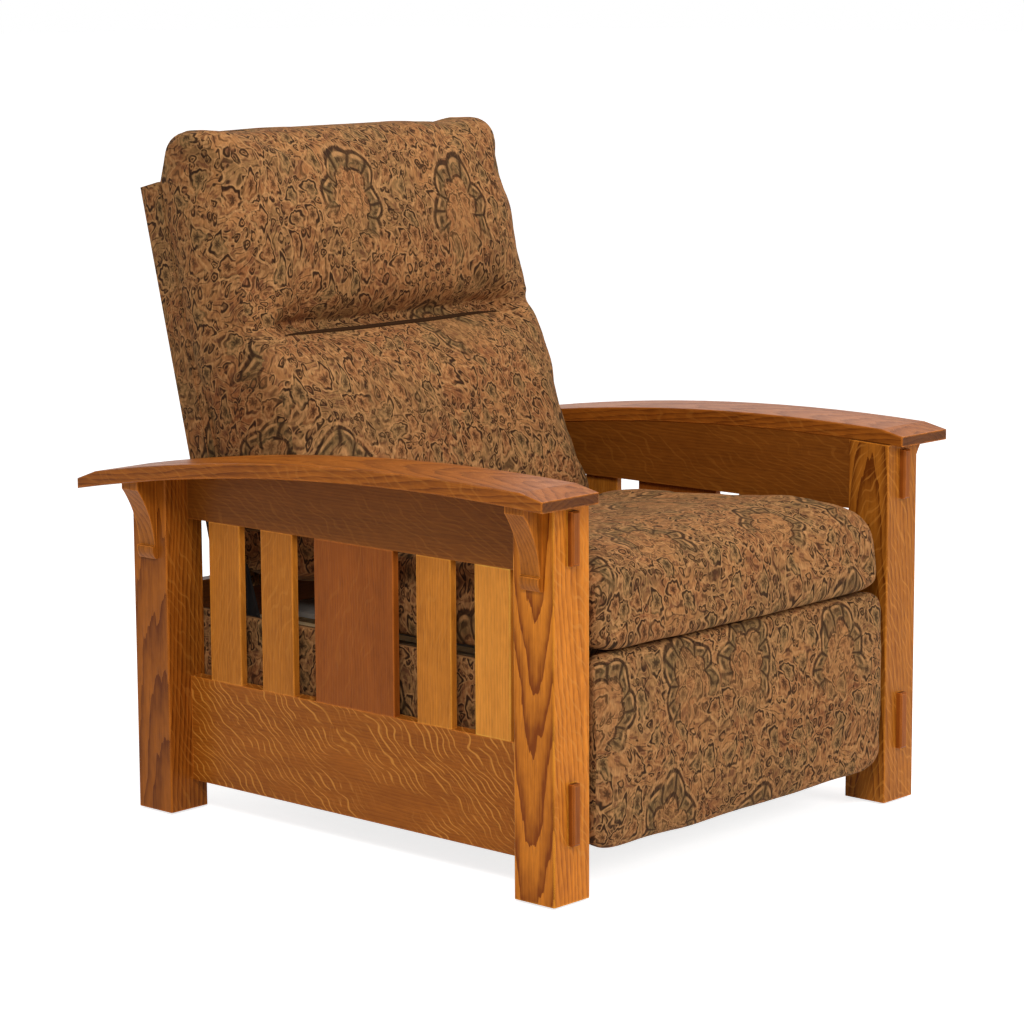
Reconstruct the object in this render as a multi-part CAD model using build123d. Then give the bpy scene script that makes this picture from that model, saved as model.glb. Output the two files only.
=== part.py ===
from build123d import *
import os
from math import cos, radians, sin, sqrt, tan

# A mission reclining armchair with bow arms: an oak side frame on each side, a sprung seat and back
# between them, and a steel linkage that lets the back lean, the seat glide and the footrest swing up.
# The chair faces -Y, the floor is z = 0, and x = 0 is its middle.
# Depths are measured back from the front faces of the front posts, heights from the floor.
# The chair's left is +X. Left pieces are modelled and the right ones are their mirror images.

os.makedirs("parts", exist_ok=True)

# Driving dimensions of the whole chair, in millimetres
frame_width = 856.0
frame_depth = 874.0
post_size = 76.0
arm_peak_height = 576.0
arm_peak_depth = 200.0
arm_rear_drop = 69.0
arm_width = 119.0
arm_thick = 23.0
arm_side_over = 48.0
arm_front_over = 22.0
arm_rear_over = 74.0
rail_inset = 46.0
rail_thick = 22.0
lower_rail_low = 48.0
lower_rail_high = 215.0
upper_rail_low = 464.0
slat_width = 69.0
centre_slat_width = 165.0
seat_height = 470.0
seat_half_width = 344.0
back_half_width = 335.0
back_lean = 13.7

# Clearances and overruns that every piece shares
overrun = 5.0
glue_gap = 0.1
pivot_gap = 0.1
open_pivot_gap = 0.4
soft_gap = 0.4

# Places that follow from the driving dimensions
front = -(frame_depth + arm_rear_over - arm_front_over) / 2
rear = front + frame_depth
outside = frame_width / 2
inside = outside - post_size
rail_outer = outside - rail_inset
rail_inner = rail_outer - rail_thick
arm_rear_run = frame_depth + arm_rear_over - arm_peak_depth
arm_radius = (arm_rear_run**2 + arm_rear_drop**2) / (2 * arm_rear_drop)
arm_centre_y = front + arm_peak_depth
arm_centre_z = arm_peak_height - arm_radius
arm_tip_front = front - arm_front_over
arm_tip_rear = rear + arm_rear_over

nodes = {}


def keep(name, *solids):
    """Stores a piece, or a group of alike pieces, under its node name."""
    nodes[name] = solids[0] if len(solids) == 1 else Compound(children=list(solids))


def mirrored(solid):
    """The same piece on the chair's right."""
    return mirror(solid, about=Plane.YZ)


def keep_pair(name, solid):
    """Stores a left piece and its mirror image as two nodes."""
    keep("left_" + name, solid)
    keep("right_" + name, mirrored(solid))


def keep_sides(name, *solids):
    """Stores alike left pieces and their mirror images as one group."""
    keep(name, *[copy for solid in solids for copy in (solid, mirrored(solid))])


def block(x, y, z):
    """A box between two bounds on each axis."""
    size = (x[1] - x[0], y[1] - y[0], z[1] - z[0])
    middle = ((x[0] + x[1]) / 2, (y[0] + y[1]) / 2, (z[0] + z[1]) / 2)
    return Pos(*middle) * Box(*size)


def slab(outline, x):
    """An outline drawn in depth and height, made solid between two widths."""
    face = make_face(Pos(x[0], 0, 0) * (Plane.YZ * outline))
    return extrude(face, amount=x[1] - x[0], dir=(1, 0, 0))


def rod(x, place, radius):
    """A round rod along X at a (depth, height) place."""
    disc = Pos(x[0], *place) * (Plane.YZ * Circle(radius))
    return extrude(disc, amount=x[1] - x[0], dir=(1, 0, 0))


def bar(x, start, end, width):
    """A flat bar with round ends from one (depth, height) place to another."""
    run = (end[0] - start[0], end[1] - start[1])
    length = sqrt(run[0] ** 2 + run[1] ** 2)
    across = (-run[1] / length * width / 2, run[0] / length * width / 2)
    corners = [
        (start[0] + across[0], start[1] + across[1]),
        (end[0] + across[0], end[1] + across[1]),
        (end[0] - across[0], end[1] - across[1]),
        (start[0] - across[0], start[1] - across[1]),
    ]
    plate = slab(Polyline(*corners, close=True), x)
    return plate + rod(x, start, width / 2) + rod(x, end, width / 2)


def moved(place, step):
    """A (depth, height) place moved by a step."""
    return (place[0] + step[0], place[1] + step[1])


def underside(y):
    """Height of the arm's curved underside at a depth."""
    return arm_centre_z + sqrt(arm_radius**2 - (y - arm_centre_y) ** 2)


def arm_arc(lift, start, end):
    """The arm's curve, raised by a lift, between two depths."""
    radius = arm_radius + lift
    middle = (start + end) / 2
    points = [(y, arm_centre_z + sqrt(radius**2 - (y - arm_centre_y) ** 2)) for y in (start, middle, end)]
    return ThreePointArc(*points)


# Everything above the arms' undersides, which trims what stands under them
sky_low = arm_arc(0, arm_tip_front - overrun, arm_tip_rear + overrun)
sky_top = arm_peak_height + arm_rear_drop
sky_front = arm_tip_front - overrun
sky_rear = arm_tip_rear + overrun
sky_box = Polyline(sky_low @ 1, (sky_rear, sky_top), (sky_front, sky_top), sky_low @ 0)
sky_reach = outside + arm_side_over + overrun
sky = slab(Curve() + [sky_low, sky_box], (0, sky_reach))

# Floor glides: nylon discs nailed under the posts
glide_radius = 17.0
glide_thick = 3.0
post_middle_x = outside - post_size / 2
front_post_middle = front + post_size / 2
rear_post_middle = rear - post_size / 2
glides = []
for middle in (front_post_middle, rear_post_middle):
    for side in (1, -1):
        glide = Cylinder(glide_radius, glide_thick)
        glides.append(Pos(side * post_middle_x, middle, glide_thick / 2) * glide)
keep("floor_glides", *glides)

# Side rails: a wide lower board and an upper board whose top follows the arm, tenoned into the posts
rail_edge = 2.0
tenon_long = 32.0
tenon_thick = 12.0
tenon_shoulder = 12.0
rail_middle_x = (rail_outer + rail_inner) / 2
tenon_x = (rail_middle_x - tenon_thick / 2, rail_middle_x + tenon_thick / 2)
rail_y = (front + post_size, rear - post_size)
tenon_y = (rail_y[0] - tenon_long, rail_y[1] + tenon_long)
lower_rail = block((rail_inner, rail_outer), rail_y, (lower_rail_low, lower_rail_high))
lower_rail = fillet(lower_rail.edges().filter_by(Axis.Y).sort_by(Axis.Z)[:2], rail_edge)
lower_rail += block(tenon_x, tenon_y, (lower_rail_low + tenon_shoulder, lower_rail_high - tenon_shoulder))
upper_rail = block((rail_inner, rail_outer), rail_y, (upper_rail_low, sky_top)) - sky
upper_tenon_high = underside(tenon_y[1]) - tenon_shoulder
upper_rail += block(tenon_x, tenon_y, (upper_rail_low + tenon_shoulder, upper_tenon_high))

# Slats: two narrow, one wide, two narrow, with equal gaps, stub-tenoned into both rails
slat_thick = 12.5
slat_edge = 1.5
stub_long = 12.0
stub_thick = 7.0
stub_shoulder = 5.0
slat_widths = [slat_width, slat_width, centre_slat_width, slat_width, slat_width]
slat_gap = (rail_y[1] - rail_y[0] - sum(slat_widths)) / (len(slat_widths) + 1)
slat_x = (rail_outer - slat_thick, rail_outer)
slat_middle_x = rail_outer - slat_thick / 2
stub_x = (slat_middle_x - stub_thick / 2, slat_middle_x + stub_thick / 2)
slat_start = rail_y[0] + slat_gap
for number, width in enumerate(slat_widths, start=1):
    slat_y = (slat_start, slat_start + width)
    slat = block(slat_x, slat_y, (lower_rail_high, upper_rail_low))
    slat = fillet(slat.edges().filter_by(Axis.Z), slat_edge)
    stub_y = (slat_y[0] + stub_shoulder, slat_y[1] - stub_shoulder)
    slat += block(stub_x, stub_y, (lower_rail_high - stub_long, upper_rail_low + stub_long))
    lower_rail -= slat
    upper_rail -= slat
    keep_pair(f"slat_{number}", slat)
    slat_start += width + slat_gap
keep_pair("lower_rail", lower_rail)
keep_pair("upper_rail", upper_rail)

# Tenon plugs: chamfered ends let into the front posts' front faces, as if the rails ran through
plug_wide = 16.0
plug_proud = 10.0
plug_let_in = 8.0
plug_chamfer = 2.5
lower_plug_shoulder = 39.0
upper_plug_shoulder = 21.0
plug_below_arm = 9.0
plug_x = (post_middle_x - plug_wide / 2, post_middle_x + plug_wide / 2)
front_plugs = []
for plug_z in (
    (lower_rail_low + lower_plug_shoulder, lower_rail_high - lower_plug_shoulder),
    (upper_rail_low + upper_plug_shoulder, underside(front) - plug_below_arm),
):
    plug = block(plug_x, (front - plug_proud, front + plug_let_in), plug_z)
    front_plugs.append(chamfer(plug.faces().sort_by(Axis.Y)[0].edges(), plug_chamfer))
keep_sides("tenon_plugs", *front_plugs)

# Side boards: padded boards inside the side frames, which carry the mechanism
board_thick = 16.0
board_front_depth = 40.0
board_front = front + board_front_depth
board_rear_gap = 0.5
board_rear = rear_post_middle - rail_thick / 2 - board_rear_gap
board_low = 140.0
board_high = 318.0
board_edge = 4.0
board_x = (inside - board_thick, inside)
side_board = block(board_x, (board_front, board_rear), (board_low, board_high))
side_board = fillet(side_board.edges().filter_by(Axis.Y).sort_by(Axis.Z)[-2:], board_edge)

# Frame bolts: hex bolts through the side boards into the posts, above the lower rails' tenons
bolt_radius = 4.0
bolt_head_flat = 13.0
bolt_head_thick = 5.3
bolt_depth = 40.0
bolt_edge = 13.0
bolt_high_drop = 26.0
bolt_spacing = 55.0
bolt_head_x = board_x[0] - bolt_head_thick
bolt_end = inside + bolt_depth
bolts = []
bolt_shanks = []
for bolt_y in (board_front + bolt_edge, board_rear - bolt_edge):
    for drop in (bolt_high_drop, bolt_high_drop + bolt_spacing):
        place = (bolt_y, board_high - drop)
        hexagon = Plane.YZ * RegularPolygon(bolt_head_flat / 2, side_count=6, major_radius=False)
        head = extrude(Pos(bolt_head_x, *place) * hexagon, amount=bolt_head_thick, dir=(1, 0, 0))
        bolts.append(head + rod((board_x[0], bolt_end), place, bolt_radius))
        hole_x = (board_x[0] - overrun, bolt_end + glue_gap)
        bolt_shanks.append(rod(hole_x, place, bolt_radius + glue_gap))
for shank in bolt_shanks:
    side_board -= shank
keep_sides("frame_bolts", *bolts)
keep_pair("side_board", side_board)

# Rear cross rail: an oak board between the rear posts, tenoned into them
cross_rail_low = 266.0
cross_rail_high = 356.0
cross_rail_y = (rear_post_middle - rail_thick / 2, rear_post_middle + rail_thick / 2)
cross_tenon_y = (rear_post_middle - tenon_thick / 2, rear_post_middle + tenon_thick / 2)
cross_tenon_x = inside + tenon_long
cross_rail = block((-inside, inside), cross_rail_y, (cross_rail_low, cross_rail_high))
cross_tenon_z = (cross_rail_low + tenon_shoulder, cross_rail_high - tenon_shoulder)
cross_rail += block((-cross_tenon_x, cross_tenon_x), cross_tenon_y, cross_tenon_z)
keep("rear_cross_rail", cross_rail)

# Posts: square, cut to the arm's slope on top, with their mortises and bolt holes
post_x = (inside, outside)
post_edge = 2.5


def post(y, plugs):
    """A left post between two depths, with what is let into it cut out."""
    solid = block(post_x, y, (glide_thick, sky_top))
    solid = fillet(solid.edges().filter_by(Axis.Z), post_edge) - sky
    for fitted in (lower_rail, upper_rail, cross_rail, *plugs, *bolt_shanks):
        solid -= fitted
    return solid


keep_pair("front_post", post((front, front + post_size), front_plugs))
keep_pair("rear_post", post((rear - post_size, rear), []))

# Arms: bent boards of even thickness whose top is bevelled down at both ends
bevel_run = 42.0
bevel_drop = 7.0
arm_x = (outside + arm_side_over - arm_width, outside + arm_side_over)
arm_bottom = arm_arc(0, arm_tip_front, arm_tip_rear)
arm_top = arm_arc(arm_thick, arm_tip_front + bevel_run, arm_tip_rear - bevel_run)
front_tip_high = underside(arm_tip_front) + arm_thick - bevel_drop
rear_tip_high = underside(arm_tip_rear) + arm_thick - bevel_drop
arm_outline = Curve() + [
    arm_bottom,
    Polyline(arm_bottom @ 1, (arm_tip_rear, rear_tip_high), arm_top @ 1),
    arm_top,
    Polyline(arm_top @ 0, (arm_tip_front, front_tip_high), arm_bottom @ 0),
]
arm = slab(arm_outline, arm_x)
arm_edge = 2.0
arm_sides = arm.faces().sort_by(Axis.X)
keep_pair("arm", fillet(arm_sides[0].edges() + arm_sides[-1].edges(), arm_edge))

# Corbels: curved brackets on the posts' outer faces under the arm
corbel_thick = 36.0
corbel_reach = 38.0
corbel_tall = 122.0
corbel_lip = 11.0
corbel_hollow = 9.0
corbel_step = 4.0
corbel_toe = 20.0
corbel_toe_reach = 9.0


def corbel(middle):
    """A left corbel centred on a post, scooped below a small upright lip and ending in a stepped toe."""
    top = underside(middle)
    low = top - corbel_tall
    lip = (outside + corbel_reach, top - corbel_lip)
    neck = (outside + corbel_toe_reach - corbel_step, low + corbel_toe)
    scoop_middle = ((lip[0] + neck[0]) / 2 - corbel_hollow, (lip[1] + neck[1]) / 2 - corbel_hollow / 2)
    scoop = ThreePointArc(lip, scoop_middle, neck)
    toe = (outside + corbel_toe_reach, low + corbel_toe)
    toe_end = (outside + corbel_step, low)
    toe_middle = (outside + corbel_toe_reach - corbel_step / 4, low + corbel_toe / 3)
    outline = Curve() + [
        scoop,
        Line(neck, toe),
        ThreePointArc(toe, toe_middle, toe_end),
        Polyline(toe_end, (outside, low), (outside, top + corbel_lip), (lip[0], top + corbel_lip), lip),
    ]
    face = make_face(Pos(0, middle - corbel_thick / 2, 0) * (Plane.XZ * outline))
    return extrude(face, amount=corbel_thick, dir=(0, 1, 0)) - sky


keep_pair("front_corbel", corbel(front_post_middle))
keep_pair("rear_corbel", corbel(rear_post_middle))

# Base stretchers: boards between the side boards that hold the box square
stretcher_thick = 22.0
stretcher_high = 215.0
front_stretcher_depth = 150.0
rear_stretcher_depth = 790.0
stretchers = []
for depth in (front_stretcher_depth, rear_stretcher_depth):
    stretcher_y = (front + depth, front + depth + stretcher_thick)
    stretchers.append(block((-board_x[0], board_x[0]), stretcher_y, (board_low, stretcher_high)))
keep("base_stretchers", *stretchers)

# Layers of the mechanism across the width, from the side boards inwards
plate_thick = 3.0
link_thick = 4.0
layer_gap = 3.0
head_thick = 2.0
frame_plate_x = (board_x[0] - plate_thick, board_x[0])
swing_x = (frame_plate_x[0] - layer_gap - link_thick, frame_plate_x[0] - layer_gap)
hanger_x = (swing_x[0] - layer_gap - plate_thick, swing_x[0] - layer_gap)
seat_rail_thick = 20.0
seat_rail_x = (hanger_x[0] - seat_rail_thick, hanger_x[0])
lift_plate_x = (seat_rail_x[0] - plate_thick, seat_rail_x[0])
outer_link_x = (lift_plate_x[0] - layer_gap - link_thick, lift_plate_x[0] - layer_gap)
inner_link_x = (outer_link_x[0] - layer_gap - link_thick, outer_link_x[0] - layer_gap)
hinge_x = (inner_link_x[0] - layer_gap - link_thick, inner_link_x[0] - layer_gap)

# Recline pivots: the back turns on R, pushes the seat at P, and the swing links R2-P2 match R-P
recline_reach = 110.0
recline_start = 18.0
recline_depth = 735.0
recline_height = 382.0
swing_depth = 315.0
swing_height = 295.0
pivot_r = (front + recline_depth, recline_height)
pivot_drop = (-recline_reach * sin(radians(recline_start)), -recline_reach * cos(radians(recline_start)))
pivot_p = moved(pivot_r, pivot_drop)
pivot_r2 = (front + swing_depth, swing_height)
pivot_p2 = moved(pivot_r2, pivot_drop)
recline_pin_radius = 5.0
recline_head_radius = 8.0
swing_width = 26.0

# Mechanism plates: steel plates on the side boards with an upright for the back's pivot
mech_low = 236.0
mech_high = 312.0
mech_margin = 29.0
mech_front = pivot_r2[0] - mech_margin
mech_rear = pivot_r[0] + mech_margin
upright_width = 36.0
mech_plate = block(frame_plate_x, (mech_front, mech_rear), (mech_low, mech_high))
upright_foot = (pivot_r[0], mech_low + upright_width / 2)
mech_plate += bar(frame_plate_x, upright_foot, pivot_r, upright_width)


def rivet(x, place, radius, head_radius, head_side):
    """A shouldered rivet between two widths, with a thin head past its inner or outer end."""
    shank = rod(x, place, radius)
    if head_side < 0:
        return shank + rod((x[0] - head_thick, x[0]), place, head_radius)
    return shank + rod((x[1], x[1] + head_thick), place, head_radius)


frame_pins = []
for place in (pivot_r, pivot_r2):
    pin_x = (swing_x[0] - pivot_gap * 2, frame_plate_x[1])
    frame_pins.append(rivet(pin_x, place, recline_pin_radius, recline_head_radius, -1))
    mech_plate -= rod(frame_plate_x, place, recline_pin_radius)
keep_sides("mechanism_plates", mech_plate)
keep_sides("frame_pivot_pins", *frame_pins)

# Swing links: flat links that carry the front of the seat, joined by a cross shaft
shaft_radius = 6.0
swing_link = bar(swing_x, pivot_r2, pivot_p2, swing_width)
swing_link -= rod(swing_x, pivot_r2, recline_pin_radius + pivot_gap)
swing_link -= rod(swing_x, pivot_p2, shaft_radius)
keep_sides("swing_links", swing_link)
keep("swing_shaft", rod((-swing_x[1], swing_x[1]), pivot_p2, shaft_radius))

# Seat frame: two side rails and two cross rails of hardwood
seat_rail_low = 262.0
seat_rail_high = 310.0
seat_rail_front_depth = 60.0
seat_rail_rear_depth = 722.0
seat_rail_front = front + seat_rail_front_depth
seat_rail_rear = front + seat_rail_rear_depth
cross_front_depth = 130.0
cross_rear_depth = 692.0
seat_rail = block(seat_rail_x, (seat_rail_front, seat_rail_rear), (seat_rail_low, seat_rail_high))
seat_rail -= rod(seat_rail_x, pivot_p, recline_pin_radius)
keep_sides("seat_side_rails", seat_rail)
seat_cross_rails = []
for depth in (cross_front_depth, cross_rear_depth):
    cross_y = (front + depth, front + depth + seat_rail_thick)
    cross_x = (-seat_rail_x[0], seat_rail_x[0])
    seat_cross_rails.append(block(cross_x, cross_y, (seat_rail_low, seat_rail_high)))
keep("seat_cross_rails", *seat_cross_rails)

# Seat hangers: steel drop plates that hold the seat on the swing shaft
hanger_width = 28.0
hanger_top = (pivot_p2[0], seat_rail_high - hanger_width / 2)
hanger = bar(hanger_x, hanger_top, pivot_p2, hanger_width)
hanger -= rod(hanger_x, pivot_p2, shaft_radius + open_pivot_gap)
keep_sides("seat_hangers", hanger)

# Footrest linkage: links A-C and B-D swing together, C-E keeps its direction, rod G-F turns the board
link_reach = 210.0
link_width = 20.0
idler_width = 18.0
rod_width = 16.0
link_pin_radius = 4.0
link_head_radius = 7.0
footrest_pivot_depth = 100.0
footrest_pivot_height = 285.0
pivot_a = (front + footrest_pivot_depth, footrest_pivot_height)
idler_step = (-28.0, 24.0)
carry_step = (-36.0, 161.0)
turn_step = (15.0, 35.0)
pivot_b = moved(pivot_a, idler_step)
pivot_c = (pivot_a[0], pivot_a[1] - link_reach)
pivot_d = moved(pivot_c, idler_step)
pivot_e = moved(pivot_c, carry_step)
pivot_g = moved(pivot_c, turn_step)
pivot_f = moved(pivot_e, turn_step)

# Footrest plates: steel plates inside the seat rails that hold pivots A and B
lift_plate_width = 24.0
lift_plate_rear = pivot_a[0] + lift_plate_width
lift_plate_low = seat_rail_low + layer_gap
lift_plate = bar(lift_plate_x, pivot_a, pivot_b, lift_plate_width)
lift_plate += block(lift_plate_x, (seat_rail_front, lift_plate_rear), (lift_plate_low, seat_rail_high))
seat_pins = []
for place in (pivot_a, pivot_b):
    pin_x = (outer_link_x[0] - pivot_gap * 2, lift_plate_x[1])
    seat_pins.append(rivet(pin_x, place, link_pin_radius, link_head_radius, -1))
    lift_plate -= rod(lift_plate_x, place, link_pin_radius)
back_pin_x = (seat_rail_x[0], swing_x[1] + pivot_gap * 2)
seat_pins.append(rivet(back_pin_x, pivot_p, recline_pin_radius, recline_head_radius, 1))
keep_sides("footrest_plates", lift_plate)
keep_sides("seat_pivot_pins", *seat_pins)

# Front links: A to C with a lug out to G, whose riveted stud drives the control rod
front_link = bar(outer_link_x, pivot_a, pivot_c, link_width)
front_link += bar(outer_link_x, pivot_c, pivot_g, link_width)
front_link -= rod(outer_link_x, pivot_a, link_pin_radius + pivot_gap)
front_link -= rod(outer_link_x, pivot_c, shaft_radius)
stud_x = (inner_link_x[0] - pivot_gap * 2, outer_link_x[0])
stud_head = link_head_radius - pivot_gap
front_link += rivet(stud_x, pivot_g, link_pin_radius, stud_head, -1)
keep_sides("front_links", front_link)
shaft_end = outer_link_x[1] + head_thick
keep("footrest_shaft", rod((-shaft_end, shaft_end), pivot_c, shaft_radius))

# Idler links: B to D, with a riveted stud that holds the carry links' direction
idler_link = bar(outer_link_x, pivot_b, pivot_d, idler_width)
idler_link -= rod(outer_link_x, pivot_b, link_pin_radius + pivot_gap)
idler_link += rivet(stud_x, pivot_d, link_pin_radius, stud_head, -1)
keep_sides("idler_links", idler_link)

# Carry links: a cranked plate from the cross shaft up to the footrest's pivot E
carry_link = bar(inner_link_x, pivot_c, pivot_e, link_width)
carry_link += bar(inner_link_x, pivot_c, pivot_d, link_width)
carry_link -= rod(inner_link_x, pivot_c, shaft_radius + pivot_gap)
carry_link -= rod(inner_link_x, pivot_d, link_pin_radius + open_pivot_gap)
carry_link -= rod(inner_link_x, pivot_e, link_pin_radius + pivot_gap)
keep_sides("carry_links", carry_link)

# Control rods: G to F, which keep the footrest in step with the front links
control_rod = bar(inner_link_x, pivot_g, pivot_f, rod_width)
control_rod -= rod(inner_link_x, pivot_g, link_pin_radius + pivot_gap)
control_rod -= rod(inner_link_x, pivot_f, link_pin_radius + open_pivot_gap)
keep_sides("control_rods", control_rod)

# Footrest board and the angle hinges screwed to its back
footrest_low = 60.0
footrest_high = 347.0
footrest_half_width = 342.0
pad_thick = 38.0
pad_reach = 4.0
pad_front = front - pad_reach
foot_board_thick = 15.0
foot_board_inset = 16.0
foot_board_y = (pad_front + pad_thick + soft_gap, pad_front + pad_thick + soft_gap + foot_board_thick)
foot_board_half = footrest_half_width - foot_board_inset
foot_board_z = (footrest_low + foot_board_inset, footrest_high - foot_board_inset)
keep("footrest_board", block((-foot_board_half, foot_board_half), foot_board_y, foot_board_z))
hinge_margin = 14.0
hinge_flange = 32.0
hinge_y = (foot_board_y[1], pivot_f[0] + hinge_margin)
hinge_z = (pivot_e[1] - hinge_margin, pivot_f[1] + hinge_margin)
hinge = block(hinge_x, hinge_y, hinge_z)
hinge += block((hinge_x[0] - hinge_flange, hinge_x[1]), (hinge_y[0], hinge_y[0] + plate_thick), hinge_z)
foot_pins = []
for place in (pivot_e, pivot_f):
    pin_x = (hinge_x[0], inner_link_x[1] + pivot_gap * 2)
    pin = rivet(pin_x, place, link_pin_radius, stud_head, 1)
    pin += rod((hinge_x[0] - head_thick, hinge_x[0]), place, link_head_radius)
    foot_pins.append(pin)
    hinge -= rod(hinge_x, place, link_pin_radius)
keep_sides("footrest_hinges", hinge)
keep_sides("footrest_pins", *foot_pins)


# Stuffed pieces: a side outline in depth and height, drawn in at the ends and crowned in the middle
def rounded(points, radii):
    """A closed outline with tangent arcs at its corners, none longer than its runs leave room for."""
    corners = [Vector(*point) for point in points]
    arcs = []
    for index, (here, radius) in enumerate(zip(corners, radii)):
        before = corners[index - 1] - here
        after = corners[(index + 1) % len(corners)] - here
        half_turn = radians(before.get_angle(after)) / 2
        trim = min(radius / tan(half_turn), run_share * before.length, run_share * after.length)
        bisector = (before.normalized() + after.normalized()).normalized()
        middle = here + bisector * (trim / cos(half_turn) - trim * tan(half_turn))
        start = here + before.normalized() * trim
        arcs.append(ThreePointArc(start, middle, here + after.normalized() * trim))
    edges = []
    for index, arc in enumerate(arcs):
        edges += [arc, Line(arc @ 1, arcs[(index + 1) % len(arcs)] @ 0)]
    return Curve() + edges


def stuffed(corners, radii, half_width, draws, crown_shares):
    """A cushion lofted across the width. Each station pulls the outline in by a draw and crowns it."""
    sections = []
    for share, draw, crown_share in zip(station_shares, draws, crown_shares):
        points = []
        for place, inward, crown in corners:
            step_y = inward[0] * draw + crown[0] * crown_share
            step_z = inward[1] * draw + crown[1] * crown_share
            points.append((place[0] + step_y, place[1] + step_z))
        placed = Pos(share * half_width, 0, 0) * (Plane.YZ * rounded(points, radii))
        sections.append(Wire(placed.edges()))
    return Solid.make_loft(sections)


run_share = 0.45
station_shares = (-1, -0.975, -0.87, -0.45, 0, 0.45, 0.87, 0.975, 1)
crown_shares = (0, 0.1, 0.4, 0.85, 1, 0.85, 0.4, 0.1, 0)

# Seat springs: sinuous wires across the seat rails, lying on the cross rails
wire_radius = 2.0
spring_bend = 13.0
spring_arm = 14.0
seat_spring_count = 5
seat_spring_spread = 440.0


def sinuous(run, bends):
    """A zigzag wire of half circles and straight arms along its run, drawn in a plane from x = 0."""
    pitch = run / bends
    bend = pitch / 2
    path = []
    side = 1
    path.append(Line((0, 0), (0, spring_arm)))
    for index in range(bends):
        x = index * pitch
        arm_end = side * spring_arm
        crest = (x + bend, arm_end + side * bend)
        path.append(ThreePointArc((x, arm_end), crest, (x + pitch, arm_end)))
        if index < bends - 1:
            path.append(Line((x + pitch, arm_end), (x + pitch, -arm_end)))
        side = -side
    path.append(Line((run, -side * spring_arm), (run, 0)))
    return Wire(path)


def wire_solid(path, plane):
    """A round wire along a flat path that is placed on a plane."""
    placed = plane * path
    start = Plane(origin=placed @ 0, z_dir=placed % 0)
    return sweep(start * Circle(wire_radius), path=placed)


spring_front = front + cross_front_depth + seat_rail_thick / 2
spring_run = cross_rear_depth - cross_front_depth
spring_bends = int(round(spring_run / (2 * spring_bend)))
seat_springs = []
for index in range(seat_spring_count):
    spring_x = seat_spring_spread * (index / (seat_spring_count - 1) - 1 / 2)
    origin = (spring_x, spring_front, seat_rail_high + wire_radius)
    spring_plane = Plane(origin=origin, x_dir=(0, 1, 0), z_dir=(0, 0, 1))
    seat_springs.append(wire_solid(sinuous(spring_run, spring_bends), spring_plane))
keep("seat_springs", *seat_springs)

# Seat deck: a felt pad over the springs
deck_half = lift_plate_x[0] - layer_gap
deck_y = (front + cross_front_depth, front + cross_rear_depth + seat_rail_thick)
deck_low = seat_rail_high + 2 * wire_radius + soft_gap
deck_thick = 9.0
keep("seat_deck", block((-deck_half, deck_half), deck_y, (deck_low, deck_low + deck_thick)))

# Seat cushion: a crowned box cushion with a rounded front that hangs over the footrest
cushion_low = deck_low + deck_thick + 2 * soft_gap
lip_low = 357.0
lip_depth = 58.0
step_depth = 68.0
nose_reach = 8.0
cushion_rear_depth = 543.0
cushion_nose = front - nose_reach
cushion_rear = front + cushion_rear_depth
seat_crown = 34.0
seat_rise = 4.0
nose_crown = 6.0
seat_corners = [
    ((cushion_rear, cushion_low), (-1, 1), (0, 0)),
    ((front + step_depth, cushion_low), (0, 1), (0, 0)),
    ((front + lip_depth, lip_low), (0, 1), (0, 0)),
    ((cushion_nose, lip_low), (1, 1), (-nose_crown / 2, 0)),
    ((cushion_nose, seat_height), (1, -1), (-nose_crown, seat_crown / 2)),
    ((cushion_nose + (cushion_rear - cushion_nose) / 4, seat_height + seat_rise), (0, -1), (0, seat_crown)),
    ((cushion_rear, seat_height), (-1, -1), (0, seat_crown / 2)),
]
seat_radii = [18.0, 4.0, 4.0, 22.0, 44.0, 90.0, 30.0]
seat_draws = (24.0, 12.0, 2.0, 0.0, 0.0, 0.0, 2.0, 12.0, 24.0)
keep("seat_cushion", stuffed(seat_corners, seat_radii, seat_half_width, seat_draws, crown_shares))

# Footrest pad: a stuffed panel over the board, rounded all round its face
pad_crown = 7.0
pad_bulge = 2.0
pad_rear = pad_front + pad_thick
pad_middle = (footrest_low + footrest_high) / 2
pad_corners = [
    ((pad_rear, footrest_low), (0, 1), (0, 0)),
    ((pad_front, footrest_low), (0, 1), (0, 0)),
    ((pad_front - pad_bulge, pad_middle), (0, 0), (-pad_crown, 0)),
    ((pad_front, footrest_high), (0, -1), (0, 0)),
    ((pad_rear, footrest_high), (0, -1), (0, 0)),
]
pad_radii = [8.0, 17.0, 120.0, 17.0, 16.0]
pad_draws = (34.0, 18.0, 3.0, 0.0, 0.0, 0.0, 3.0, 18.0, 34.0)
keep("footrest_pad", stuffed(pad_corners, pad_radii, footrest_half_width, pad_draws, crown_shares))

# Back frame: it leans with the shell, whose rear face starts low behind the seat
shell_low_depth = 793.0
shell_low_height = 340.0
shell_tall = 645.0
shell_deep = 43.0
shell_skin = 7.0
shell_inset = 1.0
shell_half_width = back_half_width - shell_inset
lean = radians(back_lean)


def on_back(ahead, up):
    """A (depth, height) place, so far ahead of the shell's rear face and so far up it."""
    y = front + shell_low_depth + up * sin(lean) - ahead * cos(lean)
    return (y, shell_low_height + up * cos(lean) + ahead * sin(lean))


def back_block(x, ahead, up):
    """A block that leans with the back."""
    spots = ((ahead[0], up[0]), (ahead[1], up[0]), (ahead[1], up[1]), (ahead[0], up[1]))
    corners = [on_back(*spot) for spot in spots]
    return slab(Polyline(*corners, close=True), x)


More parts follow.
